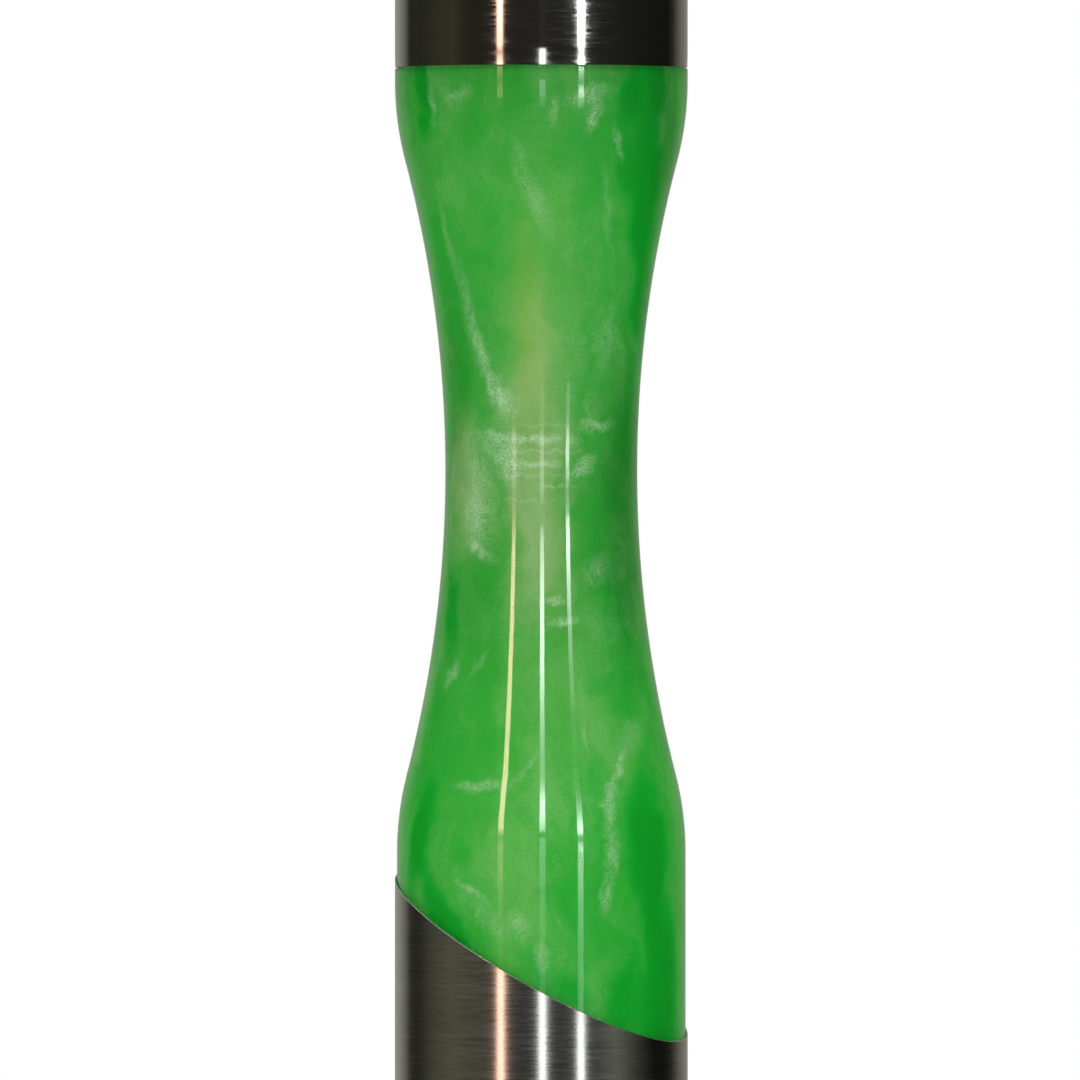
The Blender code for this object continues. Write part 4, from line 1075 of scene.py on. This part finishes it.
FLOOR_RADIUS = 3.0
FLOOR_GAP = 0.0002
FLOOR_TINTS = ((0.86, 0.86, 0.85), (0.90, 0.90, 0.89))
STRIP_DISTANCE = 3.0
STRIP_WIDTH = 0.24
STRIP_BOTTOM = -0.10
STRIP_TOP = 2.0
WARM = (1.0, 0.61, 0.48)
COOL = (0.94, 0.98, 1.0)
# How bright each upright strip is, as (height, radiance) from the bottom to the top.
WARM_STOPS = [(-0.10, 0.3), (0.07, 0.5), (0.094, 1.2), (0.108, 2.9), (0.22, 4.2), (0.30, 2.6), (0.39, 1.5)]
WARM_STOPS += [(0.45, 2.3), (0.49, 5.0), (0.61, 14.0), (1.0, 15.5), (2.0, 15.5)]
MIDDLE_STOPS = [(-0.10, 0.8), (0.068, 0.9), (0.094, 1.1), (0.106, 2.4), (0.22, 3.2), (0.39, 3.2)]
MIDDLE_STOPS += [(0.42, 1.5), (0.435, 0.01), (0.515, 0.01), (0.535, 3.0), (0.60, 8.0), (0.78, 14.0)]
MIDDLE_STOPS += [(0.97, 19.0), (1.17, 18.0), (1.38, 9.5), (1.61, 4.3), (1.82, 2.6), (2.0, 2.4)]
COOL_STOPS = [(-0.10, 1.4), (0.068, 2.2), (0.094, 3.8), (0.106, 6.2), (0.22, 13.0), (0.36, 2.4)]
COOL_STOPS += [(0.40, 2.6), (0.452, 5.0), (0.50, 15.0), (0.60, 23.0), (0.78, 11.0), (0.97, 5.5)]
COOL_STOPS += [(1.17, 2.4), (1.38, 0.7), (2.0, 0.3)]
STRIPS = {  # compass degrees, colour and brightness
    "warm_strip": (-32.6, WARM, WARM_STOPS),
    "middle_strip": (0.9, COOL, MIDDLE_STOPS),
    "cool_strip": (31.4, COOL, COOL_STOPS),
}


def strip_light(name, compass_degrees, colour, stops):
    """An upright strip that faces the lamp from the camera's side, only seen in gloss."""
    data = bpy.data.lights.new(name, "AREA")
    data.shape = "RECTANGLE"
    data.size = STRIP_WIDTH
    data.size_y = STRIP_TOP - STRIP_BOTTOM
    most = max(radiance for _, radiance in stops)
    data.energy = most * math.pi * data.size * data.size_y
    data.use_nodes = True
    n = Nodes(data.node_tree)
    height = n.split(n.add("ShaderNodeNewGeometry", {}).outputs["Parametric"])[1]
    shares = []
    for z, radiance in stops:
        shares.append(((z - STRIP_BOTTOM) / data.size_y, tuple(c * radiance / most for c in colour)))
    n.links.new(n.ramp(height, shares), n.nodes["Emission"].inputs["Color"])
    light = placed(name, data)
    angle = math.radians(compass_degrees)
    middle_height = (STRIP_BOTTOM + STRIP_TOP) / 2
    light.location = (STRIP_DISTANCE * math.sin(angle), -STRIP_DISTANCE * math.cos(angle), middle_height)
    towards = Vector((-light.location.x, -light.location.y, 0))
    light.rotation_euler = towards.to_track_quat("-Z", "Y").to_euler()
    light.visible_diffuse = False


def make_floor():
    """A pale round floor just under the lamp's feet, which isn't mirrored and casts no shadow."""
    bm = bmesh.new()
    bmesh.ops.create_circle(bm, cap_ends=True, segments=128, radius=FLOOR_RADIUS)
    s = Shader("studio_floor")
    speckle = s.noise(s.position(), 220.0, detail=2.0)
    s.set(Base_Color=s.mix(s.remap(speckle, 0.3, 0.7), *FLOOR_TINTS), Roughness=0.7)
    floor = finished("studio_floor", bm, s.material)
    floor.location.z = -FLOOR_GAP
    floor.visible_glossy = False
    floor.visible_shadow = False


def make_camera():
    data = bpy.data.cameras.new("front_camera")
    data.lens = CAMERA_LENS
    data.sensor_width = 36.0
    data.clip_end = 100.0
    camera = placed("front_camera", data)
    camera.location = (CAMERA_ASIDE, -CAMERA_DISTANCE, CAMERA_HEIGHT)
    camera.rotation_euler = (math.pi / 2, 0, 0)
    bpy.context.scene.camera = camera


make_camera()
make_world()
for strip, (compass_degrees, colour, stops) in STRIPS.items():
    strip_light(strip, compass_degrees, colour, stops)
make_floor()
bpy.context.scene.view_settings.view_transform = "Standard"

base_steel = brushed_steel("base_brushed_steel", (0.60, 0.59, 0.55), 0.23, 0.33, 0.16)
cap_steel = brushed_steel("cap_brushed_steel", (0.57, 0.56, 0.52), 0.04, 0.11, 0.05, (0.46, 0.72), turn=0.0)
lid_steel = brushed_steel("lid_brushed_steel", (0.60, 0.59, 0.56), 0.24, 0.34, 0.10)
cut_edge = plain_metal("polished_cut_edge", (0.80, 0.82, 0.78), 0.25)
zinc = plain_metal("zinc_plating", (0.60, 0.61, 0.62), 0.34, blotch=0.14)
aluminium = plain_metal("spun_aluminium", (0.80, 0.81, 0.82), 0.28, grain_scale=500.0)
brass = plain_metal("brass_sheet", (0.78, 0.58, 0.28), 0.24)
nickel = plain_metal("nickel_plating", (0.70, 0.67, 0.62), 0.20)
tungsten = plain_metal("tungsten_wire", (0.35, 0.34, 0.33), 0.35)
black_nylon = moulded("black_nylon", (0.03, 0.03, 0.03), 0.45)
rubber = moulded("foot_rubber", (0.035, 0.035, 0.035), 0.78, texture_scale=2200.0, depth=0.00006)
silicone = moulded("gasket_silicone", (0.72, 0.73, 0.70), 0.55)
white_plastic = moulded("white_plastic", (0.80, 0.79, 0.75), 0.40)
porcelain = moulded("glazed_porcelain", (0.86, 0.85, 0.80), 0.16, texture_scale=300.0, depth=0.00002)
black_glass = moulded("black_glass", (0.02, 0.02, 0.025), 0.08, texture_scale=200.0, depth=0.00001)
wire_colours = {
    "live": (moulded("brown_pvc", (0.19, 0.08, 0.03), 0.42), "brown_wire"),
    "neutral": (moulded("blue_pvc", (0.03, 0.15, 0.50), 0.42), "blue_wire"),
    "earth": (moulded("green_pvc", (0.30, 0.45, 0.05), 0.42), "green_wire"),
}

make_sleeve(base_steel, cut_edge)
bottom_ring = flat_ring("bottom_ring", "base_ring", RING_INNER_RADIUS, zinc, SCREWS)
stand_for(bottom_ring, "base_ring", "base")
make_plate(zinc)
make_feet(rubber)
make_fasteners(zinc)
make_support(aluminium, silicone)
make_gland(black_nylon)
make_bracket(zinc)
make_socket(porcelain, brass)
make_wiring(white_plastic, nickel, wire_colours)
make_bulb(clear_glass("bulb_glass", (0.98, 1.0, 0.99)), brass, nickel, black_glass, tungsten)
make_vessel(clear_glass("vessel_glass", (0.96, 1.0, 0.97)))
make_fluid(pearl_fluid())
make_crown(nickel, white_plastic)
make_cap(cap_steel, lid_steel, black_nylon)
